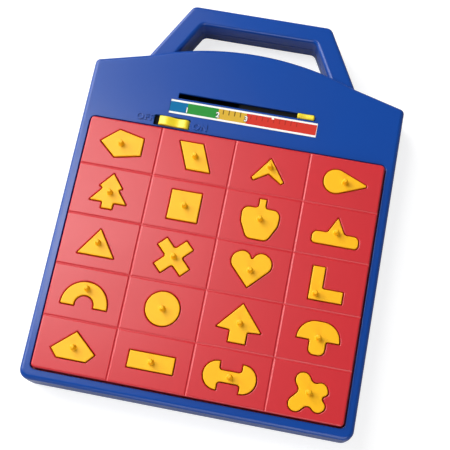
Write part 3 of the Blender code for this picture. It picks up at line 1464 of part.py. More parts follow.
def make_tray_latch():
    """Lever on a post: a nose for the tray's flange, a tail for the rack and a leaf spring arm."""
    latch = column(LATCH_HUB_RADIUS, 0.0, LATCH_THICKNESS)
    nose_y = TRAY_LENGTH / 2 + TRAY_FLANGE + LATCH_NOSE_GAP + LATCH_ARM_WIDTH / 2
    nose = (LATCH_NOSE, nose_y + TRAY_CENTRE_Y - LATCH_AT[1])
    tail = (LATCH_TAIL_X - LATCH_AT[0], LATCH_TAIL_Y)
    spring = (LATCH_SPRING_X, LATCH_SPRING_Y)
    nose_arm = bar_between((0.0, 0.0), nose, LATCH_ARM_WIDTH, GAP, LATCH_THICKNESS - GAP)
    nose_pad = column(LATCH_ARM_WIDTH / 2, 0.0, LATCH_THICKNESS - GAP / 2, nose)
    tail_arm = bar_between((0.0, 0.0), tail, LATCH_ARM_WIDTH, GAP / 2, LATCH_THICKNESS - GAP / 2)
    tail_post = column(LATCH_TAIL_RADIUS, GAP, RACK_TOP_Z - GAP - LATCH_Z, tail)
    leaf = bar_between((0.0, 0.0), spring, LATCH_SPRING_WIDTH, GAP, LATCH_THICKNESS - 2 * GAP)
    add(latch, [nose_arm, nose_pad, tail_arm, tail_post, leaf])
    cut(latch, [column(LATCH_PIN_RADIUS + GAP, -CUT, LATCH_THICKNESS + CUT)])
    return dress(latch, "tray_latch", "clock_black", (*LATCH_AT, LATCH_Z))


def main():
    """Build every piece."""
    clear_scene()
    make_base_shell()
    make_top_cover()
    for index, place in enumerate(screw_places(), start=1):
        make_case_screw(index, place)
    make_shape_tray()
    for name in SHAPES:
        make_piece(name)
    for index, place in enumerate(spring_places(), start=1):
        make_lift_spring(index, place)
    make_timer_pointer()
    make_timer_rack()
    make_scale_label()
    make_on_off_knob()
    make_switch_slide()
    make_winding_pinion()
    make_spring_barrel()
    make_mainspring()
    make_second_wheel()
    make_escape_wheel()
    make_pallet()
    make_timer_lower_plate()
    make_timer_upper_plate()
    for index, place in enumerate(pillar_places(), start=1):
        make_timer_screw(index, place)
    make_tray_latch()


main()
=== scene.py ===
"""Pop up shape timer game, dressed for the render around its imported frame.

The case, the tray, the shape pieces, the lift springs and the timer's controls are rebuilt as
finely rounded surfaces over the frame's solids, and every inner piece that stays gets its finish.
Metres, +Z up, +Y towards the handle, +X to the right.
"""

import logging
import math
from collections.abc import Sequence
from dataclasses import dataclass, replace
from enum import Enum

import bmesh
import bpy
import numpy as np
from bpy.types import ID, Material, Node, NodeSocket, NodeTree, Object
from mathutils import Euler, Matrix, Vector


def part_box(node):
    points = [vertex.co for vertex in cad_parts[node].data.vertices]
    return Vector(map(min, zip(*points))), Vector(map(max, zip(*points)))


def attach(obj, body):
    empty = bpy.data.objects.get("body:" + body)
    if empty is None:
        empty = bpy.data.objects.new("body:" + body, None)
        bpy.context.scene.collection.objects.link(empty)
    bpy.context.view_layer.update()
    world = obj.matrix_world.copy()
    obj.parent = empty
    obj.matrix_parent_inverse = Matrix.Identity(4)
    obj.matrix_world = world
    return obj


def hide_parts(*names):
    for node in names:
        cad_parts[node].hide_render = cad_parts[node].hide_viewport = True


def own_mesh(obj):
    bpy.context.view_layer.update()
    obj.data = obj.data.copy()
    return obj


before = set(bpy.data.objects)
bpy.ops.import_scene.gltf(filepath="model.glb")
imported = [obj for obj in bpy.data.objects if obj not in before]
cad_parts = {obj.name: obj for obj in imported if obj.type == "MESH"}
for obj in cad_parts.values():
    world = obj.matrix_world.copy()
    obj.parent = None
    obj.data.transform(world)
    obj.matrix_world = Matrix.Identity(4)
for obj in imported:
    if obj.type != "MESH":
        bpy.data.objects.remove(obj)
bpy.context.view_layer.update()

LOG = logging.getLogger("pop_up_timer_game")

MM = 0.001
GAP = 0.0003  # between faces that touch on the real object
CUT = 0.0020  # how far a cutter runs past the face that it breaks
BITE = 0.0008  # how far a fused piece sinks into what carries it
VALLEY_RAISE = 0.00002  # lifts a groove's lips just off the face that they meet
LEAST_RADIUS = 0.0002
MERGE = 0.000001
TINY = 1e-9
FINE_TURN = math.radians(7.5)
COARSE_TURN = math.radians(15)
LAST_ROUND_TURN = math.radians(86)
SHARP_TURN = math.radians(28)  # edges that turn by more than this stay crisp
ROOM_SHARE = 0.998  # keeps the two arcs of an edge just apart
FEW_SIDES = 16
SOME_SIDES = 24
MORE_SIDES = 32
MANY_SIDES = 48
SPRINGS = tuple(f"lift_spring_{number}" for number in range(1, 5))

Point = tuple[float, float]
Corner = tuple[float, float, float]
Level = tuple[float, float]


# Colours and finishes

def linear(hex_code: str) -> tuple[float, float, float, float]:
    """Turn an sRGB hex colour into linear values with full alpha.

    Args:
        hex_code: six hex digits with a leading hash.

    Returns:
        Red, green, blue and alpha as linear values.
    """
    parts = np.array([int(hex_code[start:start + 2], 16) for start in (1, 3, 5)]) / 255
    values = np.where(parts <= 0.04045, parts / 12.92, ((parts + 0.055) / 1.055) ** 2.4)
    return (*(float(value) for value in values), 1.0)


def feed(tree: NodeTree, node: Node, inputs: dict[object, object]) -> None:
    """Set or link inputs of a node.

    Args:
        tree: its node tree.
        node: the node.
        inputs: by input name or number a value, a socket, or a node that gives its first output.
    """
    for key, value in inputs.items():
        if isinstance(value, Node):
            value = next(socket for socket in value.outputs if socket.enabled)
        if isinstance(value, NodeSocket):
            tree.links.new(value, node.inputs[key])
        else:
            node.inputs[key].default_value = value


def add_node(
    tree: NodeTree, kind: str, inputs: dict[object, object] | None = None, **settings: object
) -> Node:
    """Add a node with its settings and its inputs.

    Args:
        tree: node tree to add to.
        kind: Blender's name of the node type, less its first word.
        inputs: what feed takes.
        settings: attributes of the node.

    Returns:
        The new node.
    """
    node = tree.nodes.new(f"ShaderNode{kind}")
    for key, value in settings.items():
        setattr(node, key, value)
    feed(tree, node, inputs or {})
    return node


def bare_material(name: str) -> tuple[Material, NodeTree, Node]:
    """Make a material with nodes.

    Args:
        name: its name.

    Returns:
        The material, its node tree and its Principled shader.
    """
    material = bpy.data.materials.new(name)
    material.use_nodes = True
    return material, material.node_tree, material.node_tree.nodes["Principled BSDF"]


@dataclass(frozen=True)
class MouldedPlastic:
    """Injection moulded plastic: even colour, a faint mould texture and a soft gloss.

    Two noises drive it. A wide one drifts the colour and the roughness by a few hundredths as
    uneven cooling does. A fine one is the texture of the polished or spark eroded mould, drawn
    coarser than it is so that it shows.
    """

    name: str
    colour: str
    shade: str
    roughness: float
    ior: float
    gloss: float = 0.5
    sheen_through: float = 0.0
    drift_mm: float = 55.0
    texture_mm: float = 0.9
    texture_depth_mm: float = 0.010
    texture_strength: float = 0.35
    roughness_drift: float = 0.05
    depth_shares: tuple[float, float, float] = (1.0, 0.55, 0.2)

    def build(self) -> Material:
        """Make the material.

        Returns:
            The material.
        """
        material, tree, shader = bare_material(self.name)
        place = add_node(tree, "TexCoord").outputs["Object"]
        drift = add_node(tree, "TexNoise", {
            "Vector": place, "Scale": 1 / (self.drift_mm * MM), "Detail": 2.0, "Roughness": 0.45,
        })
        texture = add_node(tree, "TexNoise", {
            "Vector": place, "Scale": 1 / (self.texture_mm * MM), "Detail": 3.0, "Roughness": 0.6,
        })
        feed(tree, shader, {
            "Base Color": add_node(tree, "Mix", {
                "Factor": drift, "A": linear(self.colour), "B": linear(self.shade),
            }, data_type="RGBA"),
            "Roughness": add_node(tree, "MapRange", {
                "Value": drift,
                "To Min": self.roughness - self.roughness_drift,
                "To Max": self.roughness + self.roughness_drift,
            }),
            "Normal": add_node(tree, "Bump", {
                "Height": texture,
                "Strength": self.texture_strength,
                "Distance": self.texture_depth_mm * MM,
            }),
            "IOR": self.ior,
            "Specular IOR Level": self.gloss,
        })
        if self.sheen_through:
            feed(tree, shader, {
                "Subsurface Weight": self.sheen_through,
                "Subsurface Scale": MM,
                "Subsurface Radius": self.depth_shares,
            })
        return material


@dataclass(frozen=True)
class PlatedSteel:
    """Zinc plated steel: drawing or turning leaves fine lines that break up the highlight."""

    name: str
    colour: str
    roughness: float
    roughness_swing: float = 0.08
    line_mm: float = 0.4
    line_stretch: float = 6.0
    line_depth_mm: float = 0.01
    line_strength: float = 0.2

    def build(self) -> Material:
        """Make the material.

        Returns:
            The material.
        """
        material, tree, shader = bare_material(self.name)
        stretch = add_node(tree, "Mapping", {
            "Vector": add_node(tree, "TexCoord").outputs["Object"], "Scale": (1.0, 1.0, self.line_stretch),
        })
        lines = add_node(tree, "TexNoise", {
            "Vector": stretch, "Scale": 1 / (self.line_mm * MM), "Detail": 2.0,
        })
        feed(tree, shader, {
            "Base Color": linear(self.colour),
            "Metallic": 1.0,
            "Roughness": add_node(tree, "MapRange", {
                "Value": lines,
                "To Min": self.roughness - self.roughness_swing,
                "To Max": self.roughness + self.roughness_swing,
            }),
            "Normal": add_node(tree, "Bump", {
                "Height": lines, "Strength": self.line_strength, "Distance": self.line_depth_mm * MM,
            }),
        })
        return material


@dataclass(frozen=True)
class ScreenInk:
    """Opaque screen ink of the numbers: a nearly even, slightly glossy layer."""

    name: str
    colour: str
    roughness: float = 0.4
    roughness_swing: float = 0.04
    speck_mm: float = 0.5

    def build(self) -> Material:
        """Make the material.

        Returns:
            The material.
        """
        material, tree, shader = bare_material(self.name)
        speck = add_node(tree, "TexNoise", {
            "Vector": add_node(tree, "TexCoord").outputs["Object"], "Scale": 1 / (self.speck_mm * MM),
        })
        feed(tree, shader, {
            "Base Color": linear(self.colour),
            "Roughness": add_node(tree, "MapRange", {
                "Value": speck,
                "To Min": self.roughness - self.roughness_swing,
                "To Max": self.roughness + self.roughness_swing,
            }),
        })
        return material


@dataclass(frozen=True)
class Ticks:
    """Row of marks that hang from the film's upper white line, in millimetres."""

    first: float
    last: float
    colour: str
    strength: float
    width: float = 0.75
    drop: float = 4.3


@dataclass(frozen=True)
class PrintedScaleFilm:
    """Satin film printed with four colour bands between white lines, with ticks and a white mark.

    The bands are a stepped ramp along X. The white lines and the rows of ticks are masks made
    from distances in millimetres. Its low gloss keeps the print's colours full under the lamps.
    """

    name: str = "printed_scale_film"
    band_starts_mm: tuple[float, ...] = (-58.4, -44.2, -19.2, 3.3)
    band_colours: tuple[str, ...] = ("#006a9e", "#2c8c38", "#d3aa38", "#cd372b")
    end_mm: float = 60.2
    white: str = "#f4f4f0"
    band_half_mm: float = 4.35
    edge_mm: float = 0.2
    tick_pitch_mm: float = 4.6
    marks: tuple[Ticks, ...] = (
        Ticks(-15.5, -0.6, "#4a3312", 0.95),
        Ticks(6.8, 44.5, "#9c2a1c", 0.75),
        Ticks(23.5, 25.5, "#f4f4f0", 1.0, width=2.0, drop=1.3),
    )
    roughness: float = 0.50
    gloss: float = 0.12

    def build(self, centre_y: float) -> Material:
        """Make the material.

        Args:
            centre_y: middle of the film across its width, in metres.

        Returns:
            The film's material.
        """
        material, tree, shader = bare_material(self.name)
        in_mm = add_node(tree, "Mapping", {
            "Vector": add_node(tree, "TexCoord").outputs["Object"],
            "Location": (0.0, -centre_y / MM, 0.0),
            "Scale": (1 / MM,) * 3,
        })
        axes = add_node(tree, "SeparateXYZ", {"Vector": in_mm}).outputs
        start = self.band_starts_mm[0]
        share = add_node(tree, "MapRange", {"Value": axes["X"], "From Min": start, "From Max": self.end_mm})
        printed = add_node(tree, "ValToRGB", {"Fac": share})
        printed.color_ramp.interpolation = "CONSTANT"
        stops = printed.color_ramp.elements
        while len(stops) < len(self.band_starts_mm):
            stops.new(0.5)
        for stop, begin, colour in zip(stops, self.band_starts_mm, self.band_colours):
            stop.position = (begin - start) / (self.end_mm - start)
            stop.color = linear(colour)
        from_middle = add_node(tree, "Math", {0: axes["Y"]}, operation="ABSOLUTE")
        on_line = add_node(tree, "Math", {0: from_middle, 1: self.band_half_mm}, operation="GREATER_THAN")
        print_end = self.end_mm - self.edge_mm
        at_end = add_node(tree, "Math", {0: axes["X"], 1: print_end}, operation="GREATER_THAN")
        unprinted = add_node(tree, "Math", {0: on_line, 1: at_end}, operation="MAXIMUM")
        layers = [(ticks.colour, self.tick_mask(tree, axes["X"], axes["Y"], ticks)) for ticks in self.marks]
        for colour, mask in [*layers, (self.white, unprinted)]:
            printed = add_node(tree, "Mix", {
                "Factor": mask, "A": printed, "B": linear(colour),
            }, data_type="RGBA")
        feed(tree, shader, {
            "Base Color": printed, "Roughness": self.roughness, "Specular IOR Level": self.gloss,
        })
        return material

    def tick_mask(self, tree: NodeTree, along: NodeSocket, across: NodeSocket, ticks: Ticks) -> Node:
        """Mask of a row of ticks.

        A place is on a tick where its distance past the first tick, taken modulo the pitch, is
        under the tick's width, and where it lies no lower than the tick's drop.

        Args:
            tree: node tree to add to.
            along: distance along the film in millimetres.
            across: distance from the film's middle in millimetres.
            ticks: the row.

        Returns:
            The node that gives the mask.
        """
        past = add_node(tree, "Math", {0: along, 1: ticks.first}, operation="SUBTRACT")
        wrapped = add_node(tree, "Math", {0: past, 1: self.tick_pitch_mm}, operation="FLOORED_MODULO")
        mask = ticks.strength
        for operation, measure, limit in (
            ("LESS_THAN", wrapped, ticks.width),
            ("GREATER_THAN", along, ticks.first),
            ("LESS_THAN", along, ticks.last),
            ("GREATER_THAN", across, self.band_half_mm - ticks.drop),
        ):
            test = add_node(tree, "Math", {0: measure, 1: limit}, operation=operation)
            mask = add_node(tree, "Math", {0: test, 1: mask}, operation="MULTIPLY")
        return mask


# Outlines and levels

@dataclass(frozen=True)
class Outline:
    """Closed outline of straight edges with rounded corners, anticlockwise from above."""

    corners: tuple[Corner, ...]
    turn_step: float = FINE_TURN

    def ring(self, inset: float) -> np.ndarray:
        """Points of the outline moved inwards, always the same number of them.

        Each corner moves along its mitre by (n1 + n2) * inset / (1 + n1 . n2), where n1 and n2
        are the inward normals of its edges. An arc replaces it whose ends lie
        radius * tan(turn / 2) from the corner, no further than the edges have room for.

        Args:
            inset: distance to move inwards; a negative one grows the outline.

        Returns:
            Array of points, one row each.
        """
        table = np.array(self.corners)
        places, nominal = table[:, :2], table[:, 2]
        edge_out = np.roll(places, -1, axis=0) - places
        edge_out /= np.linalg.norm(edge_out, axis=1, keepdims=True)
        edge_in = np.roll(edge_out, 1, axis=0)
        normal_in = np.stack([-edge_in[:, 1], edge_in[:, 0]], axis=1)
        normal_out = np.stack([-edge_out[:, 1], edge_out[:, 0]], axis=1)
        spread = 1 + np.sum(normal_in * normal_out, axis=1)
        moved = places + (normal_in + normal_out) * (inset / spread)[:, None]
        cross = edge_in[:, 0] * edge_out[:, 1] - edge_in[:, 1] * edge_out[:, 0]
        turn = np.arctan2(cross, np.sum(edge_in * edge_out, axis=1))
        radius = np.maximum(nominal - np.sign(turn) * inset, LEAST_RADIUS)
        half_tan = np.tan(np.abs(turn) / 2)
        reach = np.where(nominal > 0, radius * half_tan, 0.0)
        length = np.linalg.norm(np.roll(moved, -1, axis=0) - moved, axis=1)
        wanted = np.maximum(reach + np.roll(reach, -1), TINY)
        room = np.minimum(1.0, ROOM_SHARE * length / wanted)
        reach = reach * np.minimum(room, np.roll(room, 1))
        radius = reach / np.maximum(half_tan, TINY)
        steps = np.ceil(np.abs(turn) / self.turn_step).astype(int) + 1
        counts = np.where(nominal > 0, np.maximum(steps, 2), 1)
        owner = np.repeat(np.arange(len(places)), counts)
        first = np.repeat(np.cumsum(counts) - counts, counts)
        share = (np.arange(len(owner)) - first) / np.maximum(counts - 1, 1)[owner]
        bisector = edge_out - edge_in
        size = np.maximum(np.linalg.norm(bisector, axis=1, keepdims=True), TINY)
        centre = moved + bisector / size * (radius / np.cos(turn / 2))[:, None]
        spoke = moved - edge_in * reach[:, None] - centre
        angle = np.arctan2(spoke[:, 1], spoke[:, 0])[owner] + turn[owner] * share
        arc = centre[owner] + radius[owner, None] * np.stack([np.cos(angle), np.sin(angle)], axis=1)
        return np.where((nominal > 0)[owner, None], arc, moved[owner])

    def placed(self, x: float, y: float) -> "Outline":
        """The same outline moved in plan."""
        return replace(self, corners=tuple((cx + x, cy + y, radius) for cx, cy, radius in self.corners))

    def coarser(self) -> "Outline":
        """The same outline with wider steps round its corners, for faces that nobody sees."""
        return replace(self, turn_step=COARSE_TURN)


def rectangle(width: float, length: float, radius: float, centre: Point = (0.0, 0.0)) -> Outline:
    """Rounded rectangle about a centre.

    Args:
        width: size along X.
        length: size along Y.
        radius: corner radius.
        centre: its middle.

    Returns:
        The outline.
    """
    x, y = centre
    signs = ((-1, -1), (1, -1), (1, 1), (-1, 1))
    return Outline(tuple((x + sx * width / 2, y + sy * length / 2, radius) for sx, sy in signs))


def circle(radius: float, centre: Point, sides: int) -> np.ndarray:
    """Points at equal angles on a circle, one row each."""
    angle = np.arange(sides) * (2 * math.pi / sides)
    return np.stack([centre[0] + radius * np.cos(angle), centre[1] + radius * np.sin(angle)], axis=1)


def rounded_edge(inset: float, end: float, radius: float, steps: int, side: int = 1) -> list[Level]:
    """Levels of a wall that rolls over into an end face.

    At angle a the level lies radius * (1 - cos a) in from the wall and
    radius * (1 - sin a) short of the end face.

    Args:
        inset: inset of the wall.
        end: height of the end face.
        radius: radius of the edge.
        steps: number of steps.
        side: 1 where the end face looks up, -1 where it looks down.

    Returns:
        Pairs of inset and height, from the wall to the end face.
    """
    turn = np.linspace(0, math.pi / 2, steps + 1)
    return list(zip(inset + radius * (1 - np.cos(turn)), end - side * radius * (1 - np.sin(turn))))


def flared_rim(inset: float, top: float, radius: float, steps: int) -> list[Level]:
    """Levels of a cutter that leaves a rounded rim where it breaks the face above.

    At angle a the cutter is radius * (1 - cos a) wider than the hole and
    radius * (1 - sin a) below the face. It stops just short of level and then runs straight up.

    Args:
        inset: inset of the hole's wall at the rim.
        top: height of the face that is broken.
        radius: radius of the rim.
        steps: number of steps.

    Returns:
        Pairs of inset and height, lowest first.
    """
    turn = np.linspace(0, LAST_ROUND_TURN, steps + 1)
    levels = list(zip(inset - radius * (1 - np.cos(turn)), top - radius * (1 - np.sin(turn))))
    return [*levels, (levels[-1][0], top + CUT)]


# Solids

def linked(name: str, data: ID) -> Object:
    """New object of the data, linked to the scene.

    Args:
        name: its name.
        data: mesh, letters, lamp or camera.

    Returns:
        The object.
    """
    item = bpy.data.objects.new(name, data)
    bpy.context.scene.collection.objects.link(item)
    return item


class Join(Enum):
    """How a tool meets the solid that it works on."""

    ADD = "UNION"
    CUT = "DIFFERENCE"


def mesh_piece(points: np.ndarray, faces: list[list[int]], name: str = "tool") -> Object:
    """Object of points and faces, linked to the scene.

    Args:
        points: one row for each point.
        faces: point numbers of each face, anticlockwise from outside.
        name: name of the object and its mesh.

    Returns:
        The object.
    """
    mesh = bpy.data.meshes.new(name)
    mesh.from_pydata(points.tolist(), [], faces)
    mesh.update()
    return linked(name, mesh)


def skin(rows: int, count: int) -> np.ndarray:
    """Four sided faces between closed rings.

    Face (i, j) joins points j and j + 1 of ring i with the same points of ring i + 1.

    Args:
        rows: number of rings.
        count: points in a ring.

    Returns:
        Array of point numbers, four in a row.
    """
    low = np.arange(rows - 1)[:, None] * count
    here = np.arange(count)[None, :]
    following = (here + 1) % count
    quads = [low + here, low + following, low + count + following, low + count + here]
    return np.stack(quads, axis=-1).reshape(-1, 4)


def at_heights(rings: Sequence[tuple[np.ndarray, float]]) -> np.ndarray:
    """Flat rings at their heights as one array of rings, points and coordinates."""
    return np.stack([np.column_stack([ring, np.full(len(ring), height)]) for ring, height in rings])


def lofted(rings: np.ndarray) -> Object:
    """Closed solid through rings of points, with a flat face at each end.

    Args:
        rings: array of rings, points and coordinates.

    Returns:
        The solid. Its faces look out where the rings run anticlockwise as seen from the last one.
    """
    rows, count = rings.shape[:2]
    faces = skin(rows, count).tolist()
    faces.append(list(range(count))[::-1])
    faces.append(list(range((rows - 1) * count, rows * count)))
    return mesh_piece(rings.reshape(-1, 3), faces)


def moulding(outline: Outline, levels: Sequence[Level]) -> Object:
    """Solid whose outline is inset by the given amount at each height, lowest first."""
    return lofted(at_heights([(outline.ring(inset), height) for inset, height in levels]))


def turned(profile: Sequence[Level], centre: Point, sides: int) -> Object:
    """Solid of revolution about an upright line.

    Args:
        profile: pairs of radius and height, lowest first.
        centre: place of the line.
        sides: points round it.

    Returns:
        The solid.
    """
    return lofted(at_heights([(circle(radius, centre, sides), height) for radius, height in profile]))


def post(radius: float, low: float, high: float, centre: Point, sides: int = SOME_SIDES) -> Object:
    """Upright cylinder between two heights."""
    return turned([(radius, low), (radius, high)], centre, sides)


def outward(item: Object, merge: float = 0.0) -> Object:
    """Make every face of a closed mesh look outwards.

    Args:
        item: the piece.
        merge: points that are closer than this become one first.

    Returns:
        The piece.
    """
    work = bmesh.new()
    work.from_mesh(item.data)
    if merge:
        bmesh.ops.remove_doubles(work, verts=work.verts, dist=merge)
    bmesh.ops.recalc_face_normals(work, faces=work.faces)
    work.to_mesh(item.data)
    work.free()
    return item


def gather(items: Sequence[Object]) -> Object:
    """Put solids that don't touch into one mesh.

    Args:
        items: the solids.

    Returns:
        The first of them, now with all the faces.
    """
    work = bmesh.new()
    for item in items:
        work.from_mesh(item.data)
    mesh = bpy.data.meshes.new("tool")
    work.to_mesh(mesh)
    work.free()
    items[0].data = mesh
    for item in items[1:]:
        bpy.data.objects.remove(item, do_unlink=True)
    return items[0]


def work_on(target: Object, tools: Sequence[Object], join: Join) -> None:
    """Fuse tools with a solid or cut them out of it, one after another.

    Args:
        target: the solid.
        tools: the tools, which are removed.
        join: whether they are added or cut.
    """
    for tool in tools:
        step = target.modifiers.new(join.name, "BOOLEAN")
        step.operation = join.value
        step.solver = "EXACT"
        step.object = tool
    graph = bpy.context.evaluated_depsgraph_get()
    result = bpy.data.meshes.new_from_object(target.evaluated_get(graph))
    target.modifiers.clear()
    target.data = result
    for tool in tools:
        bpy.data.objects.remove(tool, do_unlink=True)


def lettering(
    text: str,
    place: tuple[float, float, float],
    height: float,
    thickness: float,
    thicken: float,
    bevel: float = 0.0,
    spacing: float = 1.0,
) -> Object:
    """Words as a closed mesh.

    Args:
        text: what it says.
        place: middle of its underside.
        height: height of a capital letter.
        thickness: how thick the letters are, with the bevel.
        thicken: how much the strokes grow on each side.
        bevel: rounding of the letters' edges.
        spacing: how far apart they stand, 1 being the face's own.

    Returns:
        The mesh object.
    """
    capital_share = 0.70
    curve = bpy.data.curves.new("letters", "FONT")
    curve.body = text
    curve.size = height / capital_share
    curve.extrude = thickness / 2 - bevel
    curve.bevel_depth = bevel
    curve.bevel_resolution = 2
    curve.offset = thicken
    curve.resolution_u = 5
    curve.space_character = spacing
    curve.align_x = "CENTER"
    source = linked("letters", curve)
    mesh = bpy.data.meshes.new_from_object(source.evaluated_get(bpy.context.evaluated_depsgraph_get()))
    bpy.data.objects.remove(source, do_unlink=True)
    item = linked("letters", mesh)
    points = np.empty(len(mesh.vertices) * 3, np.float32)
    mesh.vertices.foreach_get("co", points)
    points = points.reshape(-1, 3)
    middle = (points.min(axis=0) + points.max(axis=0)) / 2
    points += np.array(place) - (middle[0], middle[1], points[:, 2].min())
    mesh.vertices.foreach_set("co", points.ravel())
    mesh.update()
    return outward(item, MERGE)


def settle(
    item: Object, name: str, body: str, material: Material, replaced: str | None = None
) -> Object:
    """Name, dress and shade a finished piece and let it ride on its body.

    Args:
        item: the piece.
        name: its name.
        body: body that it rides on.
        material: its finish.
        replaced: frame node that it stands for.

    Returns:
        The piece.
    """
    item.name = name
    item.data.name = name
    item.data.materials.clear()
    item.data.materials.append(material)
    item.data.shade_smooth()
    item.data.set_sharp_from_angle(angle=SHARP_TURN)
    item.modifiers.new("flat_faces_stay_flat", "WEIGHTED_NORMAL").keep_sharp = True
    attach(item, body)
    if replaced:
        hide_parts(replaced)
    LOG.info("%s rides on %s, %d faces", name, body, len(item.data.polygons))
    return item


def dress_node(node: Object, material: Material) -> None:
    """Give a frame node its finish.

    Args:
        node: the node.
        material: the finish.
    """
    if not node.material_slots:
        node.data.materials.append(material)
    for place in node.material_slots:
        place.material = material


def middle_of(node: str) -> Point:
    """Middle of a frame node in plan."""
    low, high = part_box(node)
    return (low.x + high.x) / 2, (low.y + high.y) / 2


# Case

@dataclass(frozen=True)
class CasePlan:
    """Sizes of the case and places that the pieces share, in metres."""

    width: float = 0.2526
    length: float = 0.3250
    height: float = 0.033
    foot_height: float = 0.0012
    wall: float = 0.0022
    draft: float = 0.0003
    front_corner: float = 0.0080
    shoulder_corner: float = 0.0045
    shoulder_reach: float = 0.2632
    arch_reach: float = 0.2900
    arch_radius: float = 0.2360
    arch_steps: int = 72
    leg_spread: float = 0.0852
    leg_root: float = 0.0055
    leg_width: float = 0.0172
    grip_spread: float = 0.0576
    grip_width: float = 0.0159
    grip_corner: float = 0.0065
    grip_hole_corner: float = 0.0050
    handle_step: float = 0.0025
    rim_front: float = 0.0082
    column_pitch: float = 0.0592
    row_pitch: float = 0.0410
    columns: int = 4
    rows: int = 5
    tray_trim: float = 0.0009
    window_gap: float = 0.0013
    window_corner: float = 0.0043
    window_skirt_depth: float = 0.0060
    tray_rise: float = 0.0030
    pocket_depth: float = 0.0095
    screw_inset: float = 0.0130
    side_screws: tuple[float, float] = (0.0101, 0.0401)
    leg_screw: float = 0.0660
    leg_screw_inset: float = 0.0100
    grip_screw: float = 0.0460

    @property
    def front_y(self) -> float:
        """Front edge of the case."""
        return -self.length / 2

    @property
    def parting_z(self) -> float:
        """Height of the parting line."""
        return self.foot_height + self.height / 2

    @property
    def top_z(self) -> float:
        """Height of the panel and the rim."""
        return self.foot_height + self.height

    @property
    def handle_top_z(self) -> float:
        """Top of the handle."""
        return self.top_z - self.handle_step

    @property
    def handle_bottom_z(self) -> float:
        """Underside of the handle."""
        return self.foot_height + self.handle_step

    @property
    def tray_width(self) -> float:
        """Width of the tray."""
        return self.columns * self.column_pitch - 2 * self.tray_trim

    @property
    def tray_length(self) -> float:
        """Length of the tray."""
        return self.rows * self.row_pitch - 2 * self.tray_trim

    @property
    def tray_y(self) -> float:
        """Middle of the tray."""
        return self.front_y + self.rim_front + self.window_gap + self.tray_length / 2

    @property
    def tray_top_z(self) -> float:
        """Top of the tray when it has popped up."""
        return self.top_z + self.tray_rise

    @property
    def window_far_y(self) -> float:
        """Edge of the tray's window towards the handle."""
        return self.tray_y + self.tray_length / 2 + self.window_gap

    def arch_y(self, x: float) -> float:
        """Edge of the shallow arch at a distance from the middle line."""
        return self.front_y + self.arch_reach - self.arch_radius + math.sqrt(self.arch_radius**2 - x**2)

    def on_handle(self, y: float) -> bool:
        """Whether a place lies past the roots of the handle's legs."""
        return y > self.arch_y(self.leg_spread) + self.leg_root

    def outline(self) -> Outline:
        """Outline of the case: square front, sloping shoulders and a shallow arch.

        Returns:
            The outline.
        """
        half = self.width / 2
        sweep = math.asin(self.leg_spread / self.arch_radius)
        across = self.arch_radius * np.sin(np.linspace(sweep, -sweep, self.arch_steps + 1))
        shoulder_y = self.front_y + self.shoulder_reach
        return Outline((
            (-half, self.front_y, self.front_corner),
            (half, self.front_y, self.front_corner),
            (half, shoulder_y, self.shoulder_corner),
            *((x, self.arch_y(x), 0.0) for x in across.tolist()),
            (-half, shoulder_y, self.shoulder_corner),
        ))

    def handle_outline(self) -> Outline:
        """Outline of the handle: a bar on two spreading legs that run on into the case.

        Returns:
            The outline.
        """
        end = self.length / 2
        foot = self.arch_y(self.leg_spread)
        low = foot - self.leg_root
        slope = (self.leg_spread - self.grip_spread) / (end - foot)
        square = self.leg_width * math.sqrt(1 + slope**2)
        outside = self.grip_spread + (end - low) * slope
        inside = self.grip_spread + self.grip_width * slope - square
        inner = ((inside, end - self.grip_width, self.grip_hole_corner), (outside - square, low, 0.0))
        outer = ((outside, low, 0.0), (self.grip_spread, end, self.grip_corner))
        left = ((-x, y, radius) for x, y, radius in reversed((*inner, *outer)))
        return Outline((*outer, *left, *inner))

    def window(self, widen: float = 0.0) -> Outline:
        """Outline of the tray's window.

        Args:
            widen: how much it grows on each side.

        Returns:
            The outline.
        """
        wider = 2 * (self.window_gap + widen)
        corner = self.window_corner + widen
        return rectangle(self.tray_width + wider, self.tray_length + wider, corner, (0.0, self.tray_y))

    def screw_places(self) -> list[Point]:
        """Centres of the eight case screws.

        Returns:
            Their places in plan.
        """
        side = self.width / 2 - self.screw_inset
        right = [
            *((side, self.window_far_y + past) for past in self.side_screws),
            (self.leg_screw, self.arch_y(self.leg_screw) - self.leg_screw_inset),
            (self.grip_screw, self.length / 2 - self.grip_width / 2),
        ]
        return right + [(-x, y) for x, y in right]


